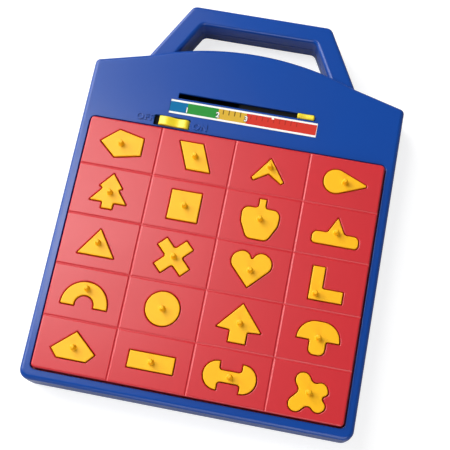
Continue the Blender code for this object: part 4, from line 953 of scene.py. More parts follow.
@dataclass
class CarryingCase:
    """Blue case in two halves with the handle, and the raised words beside the switch."""

    plan: CasePlan
    finish: MouldedPlastic
    slot: str = "case_blue"
    top_edge: float = 0.0035
    bottom_edge: float = 0.0020
    handle_edge: float = 0.0030
    parting_edge: float = 0.00025
    edge_steps: int = 9
    skirt: float = 0.0008
    window_rim: float = 0.0006
    window_rim_steps: int = 4
    slot_rim: float = 0.0003
    slot_rim_steps: int = 3
    timer_left: float = 0.0531
    timer_right: float = 0.0571
    timer_width: float = 0.0047
    timer_offset: float = 0.0289
    timer_corner: float = 0.0006
    knob_centre: float = -0.05385
    knob_length: float = 0.0289
    knob_width: float = 0.0087
    knob_corner: float = 0.0008
    label_centre: float = 0.0011
    label_offset: float = 0.0190
    label_length: float = 0.1184
    label_width: float = 0.0118
    label_corner: float = 0.0004
    label_pocket: float = 0.0006
    boss_radius: float = 0.0036
    bore_radius: float = 0.0017
    bore_height: float = 0.0088
    column_radius: float = 0.0044
    well_radius: float = 0.0030
    well_roof: float = 0.0043
    foot_radius: float = 0.0085
    foot_edge: float = 0.0004
    foot_inset: float = 0.020
    spring_post_radius: float = 0.0026
    spring_post_height: float = 0.0136
    word_height: float = 0.0052
    word_rise: float = 0.0006
    word_edge: float = 0.00012
    words: tuple[tuple[str, float, float, float], ...] = (
        ("OFF", -0.0757, 0.0579, 1.15), ("ON", -0.0310, 0.0565, 1.0),
    )

    def build(self) -> None:
        """Build both halves and the words, which are moulded in the cover's own plastic."""
        material = self.finish.build()
        settle(self.cover(), "cover_moulding", "case", material, "top_cover")
        settle(self.base(), "base_moulding", "case", material, "base_shell")
        edge = self.word_edge
        for word, x, y, spacing in self.words:
            place = (x, y, self.plan.top_z - GAP / 2)
            item = lettering(word, place, self.word_height, self.word_rise + GAP, edge, edge, spacing)
            settle(item, f"raised_word_{word.lower()}", "case", material)

    def half_shell(self, side: int, face: float, edge: float, handle_face: float) -> Object:
        """One half of the case with its half of the handle, hollowed to the wall.

        Args:
            side: 1 for the upper half, -1 for the lower one.
            face: height of its outer face.
            edge: radius of that face's edge.
            handle_face: height of the handle's outer face.

        Returns:
            The shell.
        """
        plan = self.plan
        parting = plan.parting_z + side * GAP / 2
        lip = [(self.parting_edge, parting), (0.0, parting + side * self.parting_edge)]
        halves = []
        hollows = []
        for outline, end, radius in (
            (plan.outline(), face, edge), (plan.handle_outline(), handle_face, self.handle_edge),
        ):
            levels = lip + rounded_edge(plan.draft, end, radius, self.edge_steps, side)
            halves.append(moulding(outline, levels[::side]))
            heights = (parting - side * CUT, end - side * plan.wall)[::side]
            hollows.append(moulding(outline.coarser(), [(plan.wall + plan.draft, z) for z in heights]))
        shell, handle = halves
        work_on(shell, [handle], Join.ADD)
        work_on(shell, hollows, Join.CUT)
        return shell

    def cover(self) -> Object:
        """Upper half: window with its skirt, timer slot, switch slot, label bed, screw bosses.

        Returns:
            The cover.
        """
        plan = self.plan
        top = plan.top_z
        parting = plan.parting_z
        shell = self.half_shell(1, top, self.top_edge, plan.handle_top_z)
        pilot_ends = (parting - CUT, parting + self.bore_height)
        bosses = []
        pilots = []
        for x, y in plan.screw_places():
            roof = (plan.handle_top_z if plan.on_handle(y) else top) - plan.wall / 2
            bosses.append(post(self.boss_radius, parting + GAP / 2, roof, (x, y)))
            pilots.append(post(self.bore_radius, *pilot_ends, (x, y), FEW_SIDES))
        skirt_levels = [(0.0, top - plan.window_skirt_depth), (0.0, top - plan.wall / 2)]
        work_on(shell, [moulding(plan.window(self.skirt), skirt_levels), gather(bosses)], Join.ADD)
        far = plan.window_far_y
        timer_at = ((self.timer_right - self.timer_left) / 2, far + self.timer_offset)
        timer_length = self.timer_left + self.timer_right
        knob_y = far + self.skirt + GAP + self.knob_width / 2
        label_at = (self.label_centre, far + self.label_offset)
        label_size = (self.label_length + 2 * GAP, self.label_width + 2 * GAP)
        through = [(0.0, top - plan.wall - CUT)] + flared_rim(0.0, top, self.slot_rim, self.slot_rim_steps)
        opening = [(0.0, parting)] + flared_rim(0.0, top, self.window_rim, self.window_rim_steps)
        timer = rectangle(timer_length, self.timer_width, self.timer_corner, timer_at)
        knob = rectangle(self.knob_length, self.knob_width, self.knob_corner, (self.knob_centre, knob_y))
        label = rectangle(*label_size, self.label_corner, label_at)
        work_on(shell, [
            moulding(plan.window(), opening),
            moulding(timer, through),
            moulding(knob, through),
            moulding(label, [(0.0, top - self.label_pocket), (0.0, top + CUT)]),
            gather(pilots),
        ], Join.CUT)
        return shell

    def base(self) -> Object:
        """Lower half: screw columns with their wells, posts for the springs and four feet.

        Returns:
            The base.
        """
        plan = self.plan
        parting = plan.parting_z
        shell = self.half_shell(-1, plan.foot_height, self.bottom_edge, plan.handle_bottom_z)
        well_top = parting - self.well_roof
        columns = []
        wells = []
        bores = []
        for x, y in plan.screw_places():
            outside = plan.handle_bottom_z if plan.on_handle(y) else plan.foot_height
            columns.append(post(self.column_radius, outside + BITE, parting - GAP / 2, (x, y)))
            wells.append(post(self.well_radius, -CUT, well_top, (x, y), MORE_SIDES))
            bores.append(post(self.bore_radius, well_top - CUT, parting + CUT, (x, y), FEW_SIDES))
        foot_x = plan.width / 2 - self.foot_inset
        foot_profile = [
            (self.foot_radius - self.foot_edge, 0.0),
            (self.foot_radius, self.foot_edge),
            (self.foot_radius, plan.foot_height + BITE),
        ]
        feet = []
        for x in (-foot_x, foot_x):
            for y in (self.foot_inset, plan.shoulder_reach - self.foot_inset):
                feet.append(turned(foot_profile, (x, plan.front_y + y), MANY_SIDES))
        floor = plan.foot_height + plan.wall
        ends = (floor - BITE, floor + self.spring_post_height)
        posts = [post(self.spring_post_radius, *ends, middle_of(node)) for node in SPRINGS]
        work_on(shell, [gather(columns), gather(posts), gather(feet)], Join.ADD)
        work_on(shell, [gather(wells), gather(bores)], Join.CUT)
        return shell


# Shapes, as corners in shares of the span that they are drawn in

SHAPE_SPAN = 0.0400
SHARP_SHARE = 0.02


def corners(*points: tuple[float, ...]) -> tuple[Corner, ...]:
    """Corners of a shape; one that is given without its radius is sharp."""
    return tuple((*point, SHARP_SHARE)[:3] for point in points)


def mirrored(*points: tuple[float, ...]) -> tuple[Corner, ...]:
    """Corners of a shape from its right half, bottom to top; none on the middle line is repeated."""
    half = corners(*points)
    return (*half, *((-x, y, radius) for x, y, radius in reversed(half) if x > 0))


def teardrop() -> tuple[Corner, ...]:
    """Circle drawn out to a point by its two tangents.

    Returns:
        Its corners.
    """
    centre, radius, angle = -0.17, 0.2575, math.radians(22.5)
    left = centre - radius
    point = centre + radius / math.sin(angle)
    half = (point - left) * math.tan(angle)
    return ((left, -half, radius), (point, 0.0, 2 * SHARP_SHARE), (left, half, radius))


def crossed_bars() -> tuple[Corner, ...]:
    """Two bars of one width that cross on the diagonals.

    Returns:
        Their corners.
    """
    width, reach = 0.125, 0.395
    quarter = np.array([(width, -width), (reach, -width), (reach, width)])
    radii = (2 * SHARP_SHARE, SHARP_SHARE, SHARP_SHARE)
    bars = []
    for number in range(4):
        turn = math.pi / 4 + number * math.pi / 2
        spin = np.array([[math.cos(turn), math.sin(turn)], [-math.sin(turn), math.cos(turn)]])
        bars += [(x, y, radius) for (x, y), radius in zip((quarter @ spin).tolist(), radii)]
    return tuple(bars)


def clover() -> tuple[Corner, ...]:
    """Four round ended arms from the middle, filleted where their sides meet.

    Returns:
        Their corners.
    """
    fillet = 0.09
    lobes = (
        (0.205, 0.085, 0.140), (-0.1375, 0.210, 0.155), (-0.2075, -0.240, 0.155), (0.1975, -0.210, 0.140),
    )
    arms = []
    for x, y, radius in lobes:
        along = Vector((x, y)).normalized()
        arms.append((Vector((x, y)) + along * radius, along, Vector((-along.y, along.x)) * radius))
    rounded = []
    for (end, along, side), (_, next_along, next_side) in zip(arms, arms[1:] + arms[:1]):
        run = (-next_side - side).cross(next_along) / along.cross(next_along)
        round_end = ((*(end - side), side.length), (*(end + side), side.length))
        rounded += [*round_end, (*(side + along * run), fillet)]
    return tuple(rounded)


SHAPE_SHARES: dict[str, tuple[Corner, ...]] = {
    "pentagon": corners((-0.4375, 0.0), (-0.09, -0.305), (0.4375, -0.19), (0.4375, 0.19), (-0.09, 0.305)),
    "rhombus": corners((-0.13, -0.295), (0.375, -0.295), (0.13, 0.295), (-0.375, 0.295)),
    "chevron": mirrored((0.0, -0.10), (0.272, -0.275), (0.335, -0.215), (0.0, 0.255)),
    "teardrop": teardrop(),
    "tree": mirrored(
        (0.125, -0.34), (0.125, -0.21), (0.395, -0.21), (0.175, 0.07), (0.245, 0.115), (0.0, 0.415),
    ),
    "square": rectangle(0.625, 0.625, SHARP_SHARE).corners,
    "apple": mirrored(
        (0.21, -0.415, 0.15), (0.375, -0.08, 0.24), (0.385, 0.235, 0.15), (0.082, 0.240, 0.045),
        (0.082, 0.425),
    ),
    "hat": mirrored((0.4625, -0.27, 0.09), (0.4625, 0.0, 0.12), (0.175, 0.0, 0.055), (0.0, 0.335)),
    "triangle": mirrored((0.3875, -0.27), (0.0, 0.305)),
    "cross": crossed_bars(),
    "heart": mirrored((0.0, -0.35), (0.53, 0.205, 0.21), (0.0875, 0.46, 0.21), (0.0, 0.2225)),
    "ell": corners(
        (-0.334, -0.34), (0.334, -0.34), (0.334, -0.08), (-0.064, -0.08), (-0.064, 0.34), (-0.334, 0.34),
    ),
    "arch": mirrored((0.1725, -0.035, 0.1725), (0.1725, -0.255), (0.4625, -0.255), (0.4625, 0.255, 0.4625)),
    "disc": rectangle(0.69, 0.69, 0.345).corners,
    "arrow": mirrored((0.18, -0.3925), (0.18, -0.16), (0.455, -0.14), (0.0, 0.40)),
    "mushroom": mirrored(
        (0.1675, -0.3375, 0.125), (0.1675, -0.065), (0.4175, -0.065), (0.4175, 0.325, 0.36),
    ),
    "gem": mirrored((0.2875, -0.245), (0.4425, -0.07), (0.0, 0.3225)),
    "rectangle": rectangle(0.90, 0.352, SHARP_SHARE).corners,
    "spool": mirrored(
        (0.1975, -0.125, 0.045), (0.1975, -0.285), (0.515, -0.285, 0.285), (0.515, 0.285, 0.285),
        (0.1975, 0.285), (0.1975, 0.125, 0.045),
    ),
    "clover": clover(),
}
PEG_SHIFT_SHARES: dict[str, Point] = {"ell": (-0.199, -0.21), "arch": (0.0, 0.11), "chevron": (0.0, 0.05)}


def cell_middle(name: str, plan: CasePlan) -> Point:
    """Middle of a shape's cell: the cells fill from the handle's end, left to right.

    Args:
        name: the shape.
        plan: the case's sizes.

    Returns:
        Its place in plan.
    """
    row, column = divmod(list(SHAPE_SHARES).index(name), plan.columns)
    x = (column - (plan.columns - 1) / 2) * plan.column_pitch
    y = plan.tray_y + ((plan.rows - 1) / 2 - row) * plan.row_pitch
    return x, y


def pocket_outline(name: str, plan: CasePlan) -> Outline:
    """Outline of a shape's pocket at its real size, in its cell.

    Args:
        name: the shape.
        plan: the case's sizes.

    Returns:
        The outline.
    """
    scaled = np.array(SHAPE_SHARES[name]) * SHAPE_SPAN
    return Outline(tuple(map(tuple, scaled.tolist()))).placed(*cell_middle(name, plan))


@dataclass
class ShapeTray:
    """Red tray: a pocket with a soft rim for every shape, grooves between the cells."""

    plan: CasePlan
    finish: MouldedPlastic
    slot: str = "tray_red"
    plate: float = 0.0020
    skirt: float = 0.0018
    flange: float = 0.0030
    flange_thickness: float = 0.0020
    corner: float = 0.0030
    edge: float = 0.0014
    edge_steps: int = 7
    pocket_wall: float = 0.0013
    lean: float = 0.123  # how far a pocket's wall leans in for each unit of depth
    rim: float = 0.0008
    rim_steps: int = 6
    floor_radius: float = 0.0004
    floor_steps: int = 3
    boss_depth: float = 0.0172
    boss_radius: float = 0.0067
    bore_radius: float = 0.0053
    groove_width: float = 0.0028
    groove_depth: float = 0.0006
    groove_points: int = 17

    def build(self) -> None:
        """Build the tray."""
        plan = self.plan
        top = plan.tray_top_z
        flange_top = plan.top_z - plan.window_skirt_depth - GAP
        bottom = flange_top - self.flange_thickness
        outline = rectangle(plan.tray_width, plan.tray_length, self.corner, (0.0, plan.tray_y))
        levels = [(-self.flange, bottom), (-self.flange, flange_top), (0.0, flange_top)]
        tray = moulding(outline, levels + rounded_edge(0.0, top, self.edge, self.edge_steps))
        inside = [(self.skirt, bottom - CUT), (self.skirt, top - self.plate)]
        work_on(tray, [moulding(outline, inside)], Join.CUT)
        work_on(tray, [gather(self.under_plate())], Join.ADD)
        work_on(tray, [gather(self.cavities())], Join.CUT)
        for across in (False, True):
            work_on(tray, [self.grooves(across)], Join.CUT)
        settle(tray, "tray_moulding", "tray", self.finish.build(), "shape_tray")

    def under_plate(self) -> list[Object]:
        """Walls of the pockets and tubes that hold the springs' upper ends.

        Returns:
            The solids.
        """
        top = self.plan.tray_top_z
        floor = self.plan.pocket_depth
        levels = [
            (self.lean * floor - self.pocket_wall, top - floor - self.pocket_wall),
            (-self.pocket_wall, top - self.plate / 2),
        ]
        walls = [moulding(pocket_outline(name, self.plan).coarser(), levels) for name in SHAPE_SHARES]
        ends = (top - self.boss_depth, top - self.plate / 2)
        return walls + [post(self.boss_radius, *ends, middle_of(node), MORE_SIDES) for node in SPRINGS]

    def cavities(self) -> list[Object]:
        """Cutters of the pockets, with rounded floors and soft rims, and of the springs' tubes.

        Returns:
            The cutters.
        """
        top = self.plan.tray_top_z
        depth = self.plan.pocket_depth
        foot = self.lean * (depth - self.floor_radius)
        levels = rounded_edge(foot, top - depth, self.floor_radius, self.floor_steps, -1)[::-1]
        levels += flared_rim(self.lean * self.rim, top, self.rim, self.rim_steps)
        pockets = [moulding(pocket_outline(name, self.plan), levels) for name in SHAPE_SHARES]
        ends = (top - self.boss_depth - CUT, top - self.plate)
        return pockets + [post(self.bore_radius, *ends, middle_of(node), MORE_SIDES) for node in SPRINGS]

    def grooves(self, across: bool) -> Object:
        """Cutters of the grooves in one direction.

        The section is a valley: depth * (1 + cos(2 pi x / width)) / 2 below the cell's face, so its
        lips and its floor are round.

        Args:
            across: whether they run along X.

        Returns:
            All cutters of that direction as one mesh.
        """
        plan = self.plan
        top = plan.tray_top_z
        half = self.groove_width / 2
        x = np.linspace(-half, half, self.groove_points)
        valley = self.groove_depth * (1 + np.cos(math.pi * x / half)) / 2
        section = np.vstack([
            np.column_stack([x, top + VALLEY_RAISE - valley]),
            [[half, top + CUT], [-half, top + CUT]],
        ])
        middle = (0.0, plan.tray_y)
        reach = plan.tray_width if across else plan.tray_length
        cells, pitch = (plan.rows, plan.row_pitch) if across else (plan.columns, plan.column_pitch)
        along, sideways = (0, 1) if across else (1, 0)
        rings = np.empty((2, len(section), 3))
        rings[..., along] = middle[along] + np.array([[-reach], [reach]])
        rings[..., 2] = section[:, 1]
        bars = []
        for number in range(1, cells):
            rings[..., sideways] = middle[sideways] + (number - cells / 2) * pitch + section[:, 0]
            bars.append(outward(lofted(rings)))
        return gather(bars)


@dataclass
class ShapePieces:
    """Twenty yellow pieces: a plug, a wider flange with a soft edge, and a peg."""

    plan: CasePlan
    finish: MouldedPlastic
    slot: str = "piece_yellow"
    clearance: float = 0.0008
    plug_step: float = 0.0015
    slender_plug_step: float = 0.00075
    slender: tuple[str, ...] = ("chevron",)
    plug_height: float = 0.0060
    flange: float = 0.0040
    crisp_edge: float = 0.0002
    soft_edge: float = 0.0007
    edge_steps: int = 6
    peg_radius: float = 0.0021
    peg_height: float = 0.0060
    peg_root: float = 0.0006
    peg_taper: float = 0.0003
    peg_dome: float = 0.0010
    peg_dome_turn: float = math.radians(84)
    peg_points: tuple[int, int] = (5, 6)
    peg_sides: int = 40

    def build(self) -> None:
        """Build every piece."""
        material = self.finish.build()
        for name in SHAPE_SHARES:
            node = f"{name}_piece"
            settle(self.piece(name), f"{name}_moulding", node, material, node)

    def piece(self, name: str) -> Object:
        """One piece in its pocket.

        Args:
            name: the shape.

        Returns:
            The piece.
        """
        low = self.plan.tray_top_z - self.plan.pocket_depth + GAP
        step = low + self.plug_height
        top = step + self.flange
        edge = self.crisp_edge
        plug = self.clearance + (self.slender_plug_step if name in self.slender else self.plug_step)
        item = moulding(pocket_outline(name, self.plan), [
            (plug + edge, low),
            (plug, low + edge),
            (plug, step),
            (self.clearance + edge, step),
            (self.clearance, step + edge),
            *rounded_edge(self.clearance, top, self.soft_edge, self.edge_steps),
        ])
        x, y = cell_middle(name, self.plan)
        shift_x, shift_y = PEG_SHIFT_SHARES.get(name, (0.0, 0.0))
        peg_at = (x + shift_x * SHAPE_SPAN, y + shift_y * SHAPE_SPAN)
        work_on(item, [turned(self.peg_profile(top), peg_at, self.peg_sides)], Join.ADD)
        return item

    def peg_profile(self, top: float) -> list[Level]:
        """Profile of the peg: a filleted root, a slight taper and a domed end.

        The root's radius grows by root * (1 - sin a) at root * (1 - cos a) above the face, and the
        end's shrinks by dome * (1 - cos a) at dome * (1 - sin a) under the tip.

        Args:
            top: height of the flange's face.

        Returns:
            Pairs of radius and height, lowest first.
        """
        turn = np.linspace(0, math.pi / 2, self.peg_points[0])
        root = self.peg_radius + self.peg_root * (1 - np.sin(turn))
        root_z = top + self.peg_root * (1 - np.cos(turn))
        dome_turn = np.linspace(0, self.peg_dome_turn, self.peg_points[1])
        dome = self.peg_radius - self.peg_taper - self.peg_dome * (1 - np.cos(dome_turn))
        dome_z = top + self.peg_height - self.peg_dome * (1 - np.sin(dome_turn))
        radii = np.concatenate([root[:1], root, dome])
        return list(zip(radii, np.concatenate([[top - BITE], root_z, dome_z])))


@dataclass(frozen=True)
class InkLayer:
    """One layer of a number: the ink's finish, how far its strokes grow and its thickness."""

    name: str
    finish: ScreenInk
    thicken: float
    thickness: float


@dataclass
class TimerControls:
    """Pointer in its slot, waved ON and OFF slide, printed scale and its numbers."""

    plan: CasePlan
    finish: MouldedPlastic
    film: PrintedScaleFilm
    slot: str = "lemon_yellow"
    print_slot: str = "label_print"
    knob_rise: float = 0.0030
    knob_fall: float = 0.0023
    knob_wave: float = 0.0006
    knob_crest_share: float = 0.28
    knob_wave_share: float = 0.62
    knob_left: float = 0.0018
    knob_right: float = 0.0030
    knob_side: float = 0.0007
    knob_far_gap: float = 0.0007
    knob_points: tuple[int, int] = (81, 21)
    pointer_end: float = 0.0009
    pointer_dish: float = 0.0006
    pointer_rib: float = 0.00018
    pointer_rib_pitch: float = 0.0012
    pointer_ribbed_share: float = 0.6
    pointer_points: tuple[int, int, int] = (91, 17, 5)
    number_height: float = 0.0042
    numbers: tuple[tuple[str, float, float], ...] = (
        ("1", -0.0442, 0.0014), ("2", -0.0192, 0.0009), ("3", 0.0034, 0.0003),
    )
    inks: tuple[InkLayer, ...] = (
        InkLayer("edge", ScreenInk("black_screen_ink", "#1c1c1e"), 0.00044, 0.00004),
        InkLayer("face", ScreenInk("white_screen_ink", "#f2f2ee"), 0.00012, 0.00008),
    )

    def build(self) -> None:
        """Build the controls, dress the scale and print its numbers."""
        material = self.finish.build()
        settle(self.pointer(), "pointer_moulding", "timer_slide", material, "timer_pointer")
        settle(self.knob(), "knob_moulding", "switch", material, "on_off_knob")
        centre_y = middle_of("scale_label")[1]
        face_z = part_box("scale_label")[1].z
        dress_node(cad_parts["scale_label"], self.film.build(centre_y))
        inks = [(ink, ink.finish.build()) for ink in self.inks]
        for number, x, drop in self.numbers:
            place = (x, centre_y - drop, face_z)
            for ink, dried in inks:
                item = lettering(number, place, self.number_height, ink.thickness, ink.thicken)
                settle(item, f"number_{number}_{ink.name}", "case", dried)

    def pointer(self) -> Object:
        """Bar with a half round top: the profile carried along X, with rounded ends.

        The section shrinks towards both ends as a quarter circle does. Between them its top dips for
        the finger by dish * (1 + cos(pi x / reach)) / 2, and fine ribs cross it as a cosine of x.

        Returns:
            The pointer.
        """
        low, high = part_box("timer_pointer")
        half = (high.y - low.y) / 2
        inner_points, arc_points, end_points = self.pointer_points
        angle = np.linspace(0, math.pi, arc_points)
        arc = np.stack([half * np.cos(angle), high.z - half + half * np.sin(angle)], axis=1)
        profile = np.vstack([[-half, low.z], [half, low.z], arc])
        turn = np.linspace(0, LAST_ROUND_TURN, end_points)
        shrink = self.pointer_end * (1 - np.cos(turn))
        reach = (high.x - low.x) / 2 - self.pointer_end * (1 - np.sin(turn))
        inner = np.linspace(-reach[0], reach[0], inner_points)[1:-1]
        ribs = self.pointer_rib * (1 + np.cos(2 * math.pi * inner / self.pointer_rib_pitch)) / 2
        dip = self.pointer_dish * (1 + np.cos(math.pi * inner / reach[0])) / 2
        dip += ribs * (np.abs(inner) < self.pointer_ribbed_share * reach[0])
        stations = np.concatenate([-reach[::-1], inner, reach])
        insets = np.concatenate([shrink[::-1], np.zeros_like(inner), shrink])
        dips = np.concatenate([shrink[::-1], dip, shrink])
        middle = (np.array(low) + np.array(high)) / 2
        scale_y = 1 - insets / half
        scale_z = 1 - dips / (high.z - middle[2])
        rings = np.empty((len(stations), len(profile), 3))
        rings[..., 0] = middle[0] + stations[:, None]
        rings[..., 1] = middle[1] + profile[:, 0] * scale_y[:, None]
        rings[..., 2] = middle[2] + (profile[:, 1] - middle[2]) * scale_z[:, None]
        return outward(lofted(rings))

    def knob_top(self, share: np.ndarray, length: float) -> np.ndarray:
        """Height of the knob's top above the panel.

        At share u of the length from the left it is rise - fall * u + wave * cos(2 pi (u - crest) /
        wave length), less the quarter circles that round both ends.

        Args:
            share: places along the knob, from 0 to 1.
            length: length of the knob.

        Returns:
            Array of heights.
        """
        wave = np.cos(2 * math.pi * (share - self.knob_crest_share) / self.knob_wave_share)
        rise = self.knob_rise - self.knob_fall * share + self.knob_wave * wave
        for radius, distance in ((self.knob_left, share * length), (self.knob_right, (1 - share) * length)):
            past = np.clip(radius - distance, 0, radius)
            rise = rise - radius + np.sqrt(radius**2 - past**2)
        return rise

    def knob(self) -> Object:
        """Slide with a waved top: upright sections from one long side to the other, set along X.

        The long edges roll over as a quarter circle does. Both grids are closer at their ends, at
        (1 - cos(pi u)) / 2.

        Returns:
            The slide.
        """
        low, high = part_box("on_off_knob")
        length = high.x - low.x
        width = high.y - low.y - self.knob_far_gap
        along, sideways = ((1 - np.cos(np.linspace(0, math.pi, count))) / 2 for count in self.knob_points)
        y = (sideways - 0.5) * width
        over = np.clip(np.abs(y) - width / 2 + self.knob_side, 0, self.knob_side)
        roll = self.knob_side - np.sqrt(self.knob_side**2 - over**2)
        top = np.clip(self.plan.top_z + self.knob_top(along, length)[:, None] - roll, low.z + GAP, high.z)
        rings = np.empty((len(along), len(y) + 2, 3))
        rings[..., 0] = low.x + length * along[:, None]
        rings[..., 1] = low.y + width / 2 + np.concatenate([y[:1], y, y[-1:]])
        rings[..., 2] = np.pad(top, ((0, 0), (1, 1)), constant_values=low.z)
        return outward(lofted(rings))


@dataclass
class LiftSprings:
    """Four coil springs that throw the tray up. On the real game they shorten as the tray goes down; here
    each keeps its frame node's length.
    """

    finish: PlatedSteel
    slot: str = "spring_steel"
    coil_radius: float = 0.0041
    wire_radius: float = 0.0004
    turns: int = 7
    steps: int = 32
    wire_sides: int = 10
    travel: float = 0.0080

    def build(self) -> None:
        """Build the springs."""
        material = self.finish.build()
        for number, node in enumerate(SPRINGS, 1):
            low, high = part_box(node)
            foot = (*middle_of(node), low.z)
            length = high.z - low.z
            item = settle(self.coil(foot, length), f"lift_coil_{number}", "case", material, node)
            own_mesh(item)

    def coil(self, foot: tuple[float, float, float], length: float) -> Object:
        """Round wire on a helix with a closed turn at each end.

        At turn u the wire's middle is at coil radius * (cos 2 pi u, sin 2 pi u). It climbs by one
        wire in the first and the last turn and evenly between them. The section is a circle in
        the plane of the radius and of the tangent's cross product with it.

        Args:
            foot: middle of the spring's lower end.
            length: its free length.

        Returns:
            The spring.
        """
        turn = np.linspace(0, self.turns, self.turns * self.steps + 1)
        wire = self.wire_radius
        bends = (0, 1, self.turns - 1, self.turns)
        climb = np.interp(turn, bends, (wire, 3 * wire, length - 3 * wire, length - wire))
        angle = 2 * math.pi * turn
        outwards = np.column_stack([np.cos(angle), np.sin(angle), np.zeros_like(angle)])
        line = self.coil_radius * outwards
        line[:, 2] = climb
        tangent = np.gradient(line, axis=0)
        tangent /= np.linalg.norm(tangent, axis=1)[:, None]
        upwards = np.cross(tangent, outwards)
        around = (2 * math.pi * np.arange(self.wire_sides) / self.wire_sides)[:, None]
        section = np.cos(around) * outwards[:, None, :] + np.sin(around) * upwards[:, None, :]
        return outward(lofted(line[:, None, :] + wire * section + np.array(foot)))


@dataclass
class InnerWorks:
    """Clockwork, latch and screws, kept as the frame's own solids."""

    nylon: MouldedPlastic
    acetal: MouldedPlastic
    steel: PlatedSteel
    nylon_starts: tuple[str, ...] = (
        "winding_pinion", "spring_barrel", "second_wheel", "escape_wheel", "pallet",
    )
    acetal_starts: tuple[str, ...] = (
        "timer_rack", "switch_slide", "timer_lower_plate", "timer_upper_plate", "tray_latch",
    )
    steel_starts: tuple[str, ...] = ("case_screw", "timer_screw", "mainspring")

    def build(self) -> None:
        """Dress every node that stays."""
        for finish, starts in (
            (self.nylon, self.nylon_starts),
            (self.acetal, self.acetal_starts),
            (self.steel, self.steel_starts),
        ):
            material = finish.build()
            for name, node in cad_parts.items():
                if name.startswith(starts):
                    dress_node(node, material)
                    LOG.info("%s is %s", name, material.name)


# Stage

@dataclass(frozen=True)
class Softbox:
    """Square lamp that looks at the middle of the object: its place, its side and its watts."""

    name: str
    place: tuple[float, float, float]
    size: float
    power: float

    def build(self) -> None:
        """Hang the lamp."""
        data = bpy.data.lights.new(self.name, "AREA")
        data.shape = "SQUARE"
        data.size = self.size
        data.energy = self.power
        item = linked(self.name, data)
        item.location = self.place
        item.rotation_euler = Vector(self.place).to_track_quat("Z", "Y").to_euler()


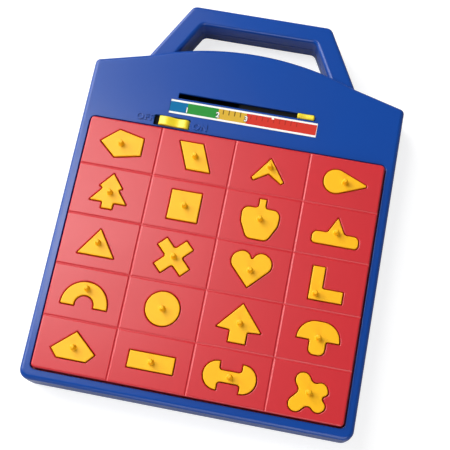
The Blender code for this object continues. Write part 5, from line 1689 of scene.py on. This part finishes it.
@dataclass
class Studio:
    """Pale sweep, soft lamps and the camera at the photograph's view."""

    camera_at: tuple[float, float, float] = (0.06446, -0.22016, 0.77569)
    camera_turn: tuple[float, float, float] = (15.75477, 1.62171, 11.01591)
    focal_mm: float = 80.0
    sensor_mm: float = 36.0
    nearest: float = 0.01
    floor_radius: float = 2.3
    sweep_radius: float = 0.9
    sweep_points: int = 25
    sweep_sides: int = 96
    wall_height: float = 2.6
    paper: str = "#b0b0b0"
    paper_roughness: float = 0.9
    paper_gloss: float = 0.1
    white: str = "#ffffff"
    floor_glow: float = 0.76
    mirrored_glow_share: float = 0.12
    room_light: float = 0.12
    lamps: tuple[Softbox, ...] = (
        Softbox("left_softbox", (-1.55, 0.85, 1.25), 2.2, 71.0),
        Softbox("glare_softbox", (-0.48, 0.30, 1.50), 0.40, 4.5),
        Softbox("front_softbox", (0.35, -1.65, 0.95), 1.4, 15.0),
    )

    def build(self) -> None:
        """Set up the stage."""
        self.camera()
        self.sweep()
        self.room()
        for lamp in self.lamps:
            lamp.build()
        bpy.context.scene.view_settings.view_transform = "Standard"

    def camera(self) -> None:
        """Camera above the front of the case, a little to its right."""
        data = bpy.data.cameras.new("view")
        data.lens = self.focal_mm
        data.sensor_width = self.sensor_mm
        data.sensor_fit = "HORIZONTAL"
        data.clip_start = self.nearest
        item = linked("view", data)
        item.location = self.camera_at
        item.rotation_euler = Euler(tuple(math.radians(value) for value in self.camera_turn), "XYZ")
        bpy.context.scene.camera = item

    def sweep(self) -> None:
        """Pale sweep: a disc that curves up to a wall all round, its profile turned about Z.

        Past the disc the profile is a quarter circle and then an upright line.
        """
        turn = np.linspace(0, math.pi / 2, self.sweep_points)
        radii = self.floor_radius + self.sweep_radius * np.sin(turn)
        heights = self.sweep_radius * (1 - np.cos(turn))
        profile = [*zip(radii, heights), (radii[-1], self.wall_height)]
        sides = self.sweep_sides
        rings = at_heights([(circle(radius, (0.0, 0.0), sides), height) for radius, height in profile])
        faces = skin(len(rings), sides)[:, ::-1].tolist() + [list(range(sides))]
        item = mesh_piece(rings.reshape(-1, 3), faces, "studio_sweep")
        item.data.shade_smooth()
        item.data.materials.append(self.paper_finish())

    def paper_finish(self) -> Material:
        """White matt paper of the sweep.

        It glows for the camera, so that the background is white under lamps that suit the object.
        Reflections and clear pieces see it too, dimmed, because nothing outside is metal or glass
        and the glossy blue walls would turn grey. No other ray sees the glow, so shadows stay.

        Returns:
            The paper's material.
        """
        material, tree, shader = bare_material("white_paper_sweep")
        ray = add_node(tree, "LightPath").outputs
        mirrored_ray = add_node(
            tree, "Math", {0: ray["Is Glossy Ray"], 1: ray["Is Transmission Ray"]}, operation="MAXIMUM",
        )
        share = self.mirrored_glow_share
        dimmed = add_node(tree, "Math", {0: mirrored_ray, 1: share}, operation="MULTIPLY")
        seen = add_node(tree, "Math", {0: ray["Is Camera Ray"], 1: dimmed}, operation="MAXIMUM")
        glow = add_node(tree, "Math", {0: seen, 1: self.floor_glow}, operation="MULTIPLY")
        feed(tree, shader, {
            "Base Color": linear(self.paper),
            "Roughness": self.paper_roughness,
            "Specular IOR Level": self.paper_gloss,
            "Emission Color": linear(self.white),
            "Emission Strength": glow,
        })
        return material

    def room(self) -> None:
        """Dim even light of the room above the sweep."""
        world = bpy.data.worlds.new("studio_room")
        world.use_nodes = True
        background = world.node_tree.nodes["Background"]
        feed(world.node_tree, background, {"Color": linear(self.white), "Strength": self.room_light})
        bpy.context.scene.world = world


def main() -> None:
    """Dress the object and set the stage."""
    logging.basicConfig(level=logging.INFO, format="%(name)s: %(message)s")
    plan = CasePlan()
    # ABS from a polished mould: clean deep blue with a wide soft highlight
    blue = MouldedPlastic("moulded_abs_blue", "#0e479f", "#0b4196", 0.24, 1.54, gloss=0.4)
    # Polystyrene from a duller mould: its pale sheen shows on the broad flat cells
    red = MouldedPlastic("moulded_polystyrene_red", "#cf2831", "#c7212a", 0.34, 1.59)
    # ABS in warm yellow: satin, and its thin edges let a little light through
    yellow = MouldedPlastic(
        "moulded_abs_yellow", "#ffbe04", "#fdb802", 0.44, 1.54, gloss=0.35, sheen_through=0.08,
    )
    # ABS in lemon: glossier, so that the wave and the ribs catch the lamps
    lemon = MouldedPlastic("moulded_abs_lemon", "#fae232", "#f4d826", 0.30, 1.54)
    # Spring wire, drawn and plated: bright lines along the coils
    wire = PlatedSteel("drawn_spring_steel", "#b9babf", 0.32)
    # Undyed nylon: milky wheels with a dull shine
    nylon = MouldedPlastic("moulded_nylon_natural", "#e3dfd0", "#d9d4c2", 0.45, 1.53)
    # Black acetal: a dark waxy face with almost no highlight; its colour is taken darker than the plastic
    # as painted shade, for the rack deep in its shadowed slot
    acetal = MouldedPlastic("moulded_acetal_black", "#0c0c0e", "#08080a", 0.60, 1.48, gloss=0.15)
    # Turned and plated steel: grey screw heads with a broken shine
    screws = PlatedSteel("turned_zinc_plated_steel", "#b4b6bb", 0.36)
    for part in (
        CarryingCase(plan, blue),
        ShapeTray(plan, red),
        ShapePieces(plan, yellow),
        TimerControls(plan, lemon, PrintedScaleFilm()),
        LiftSprings(wire),
        InnerWorks(nylon, acetal, screws),
        Studio(),
    ):
        part.build()


if __name__ == "__main__":
    main()
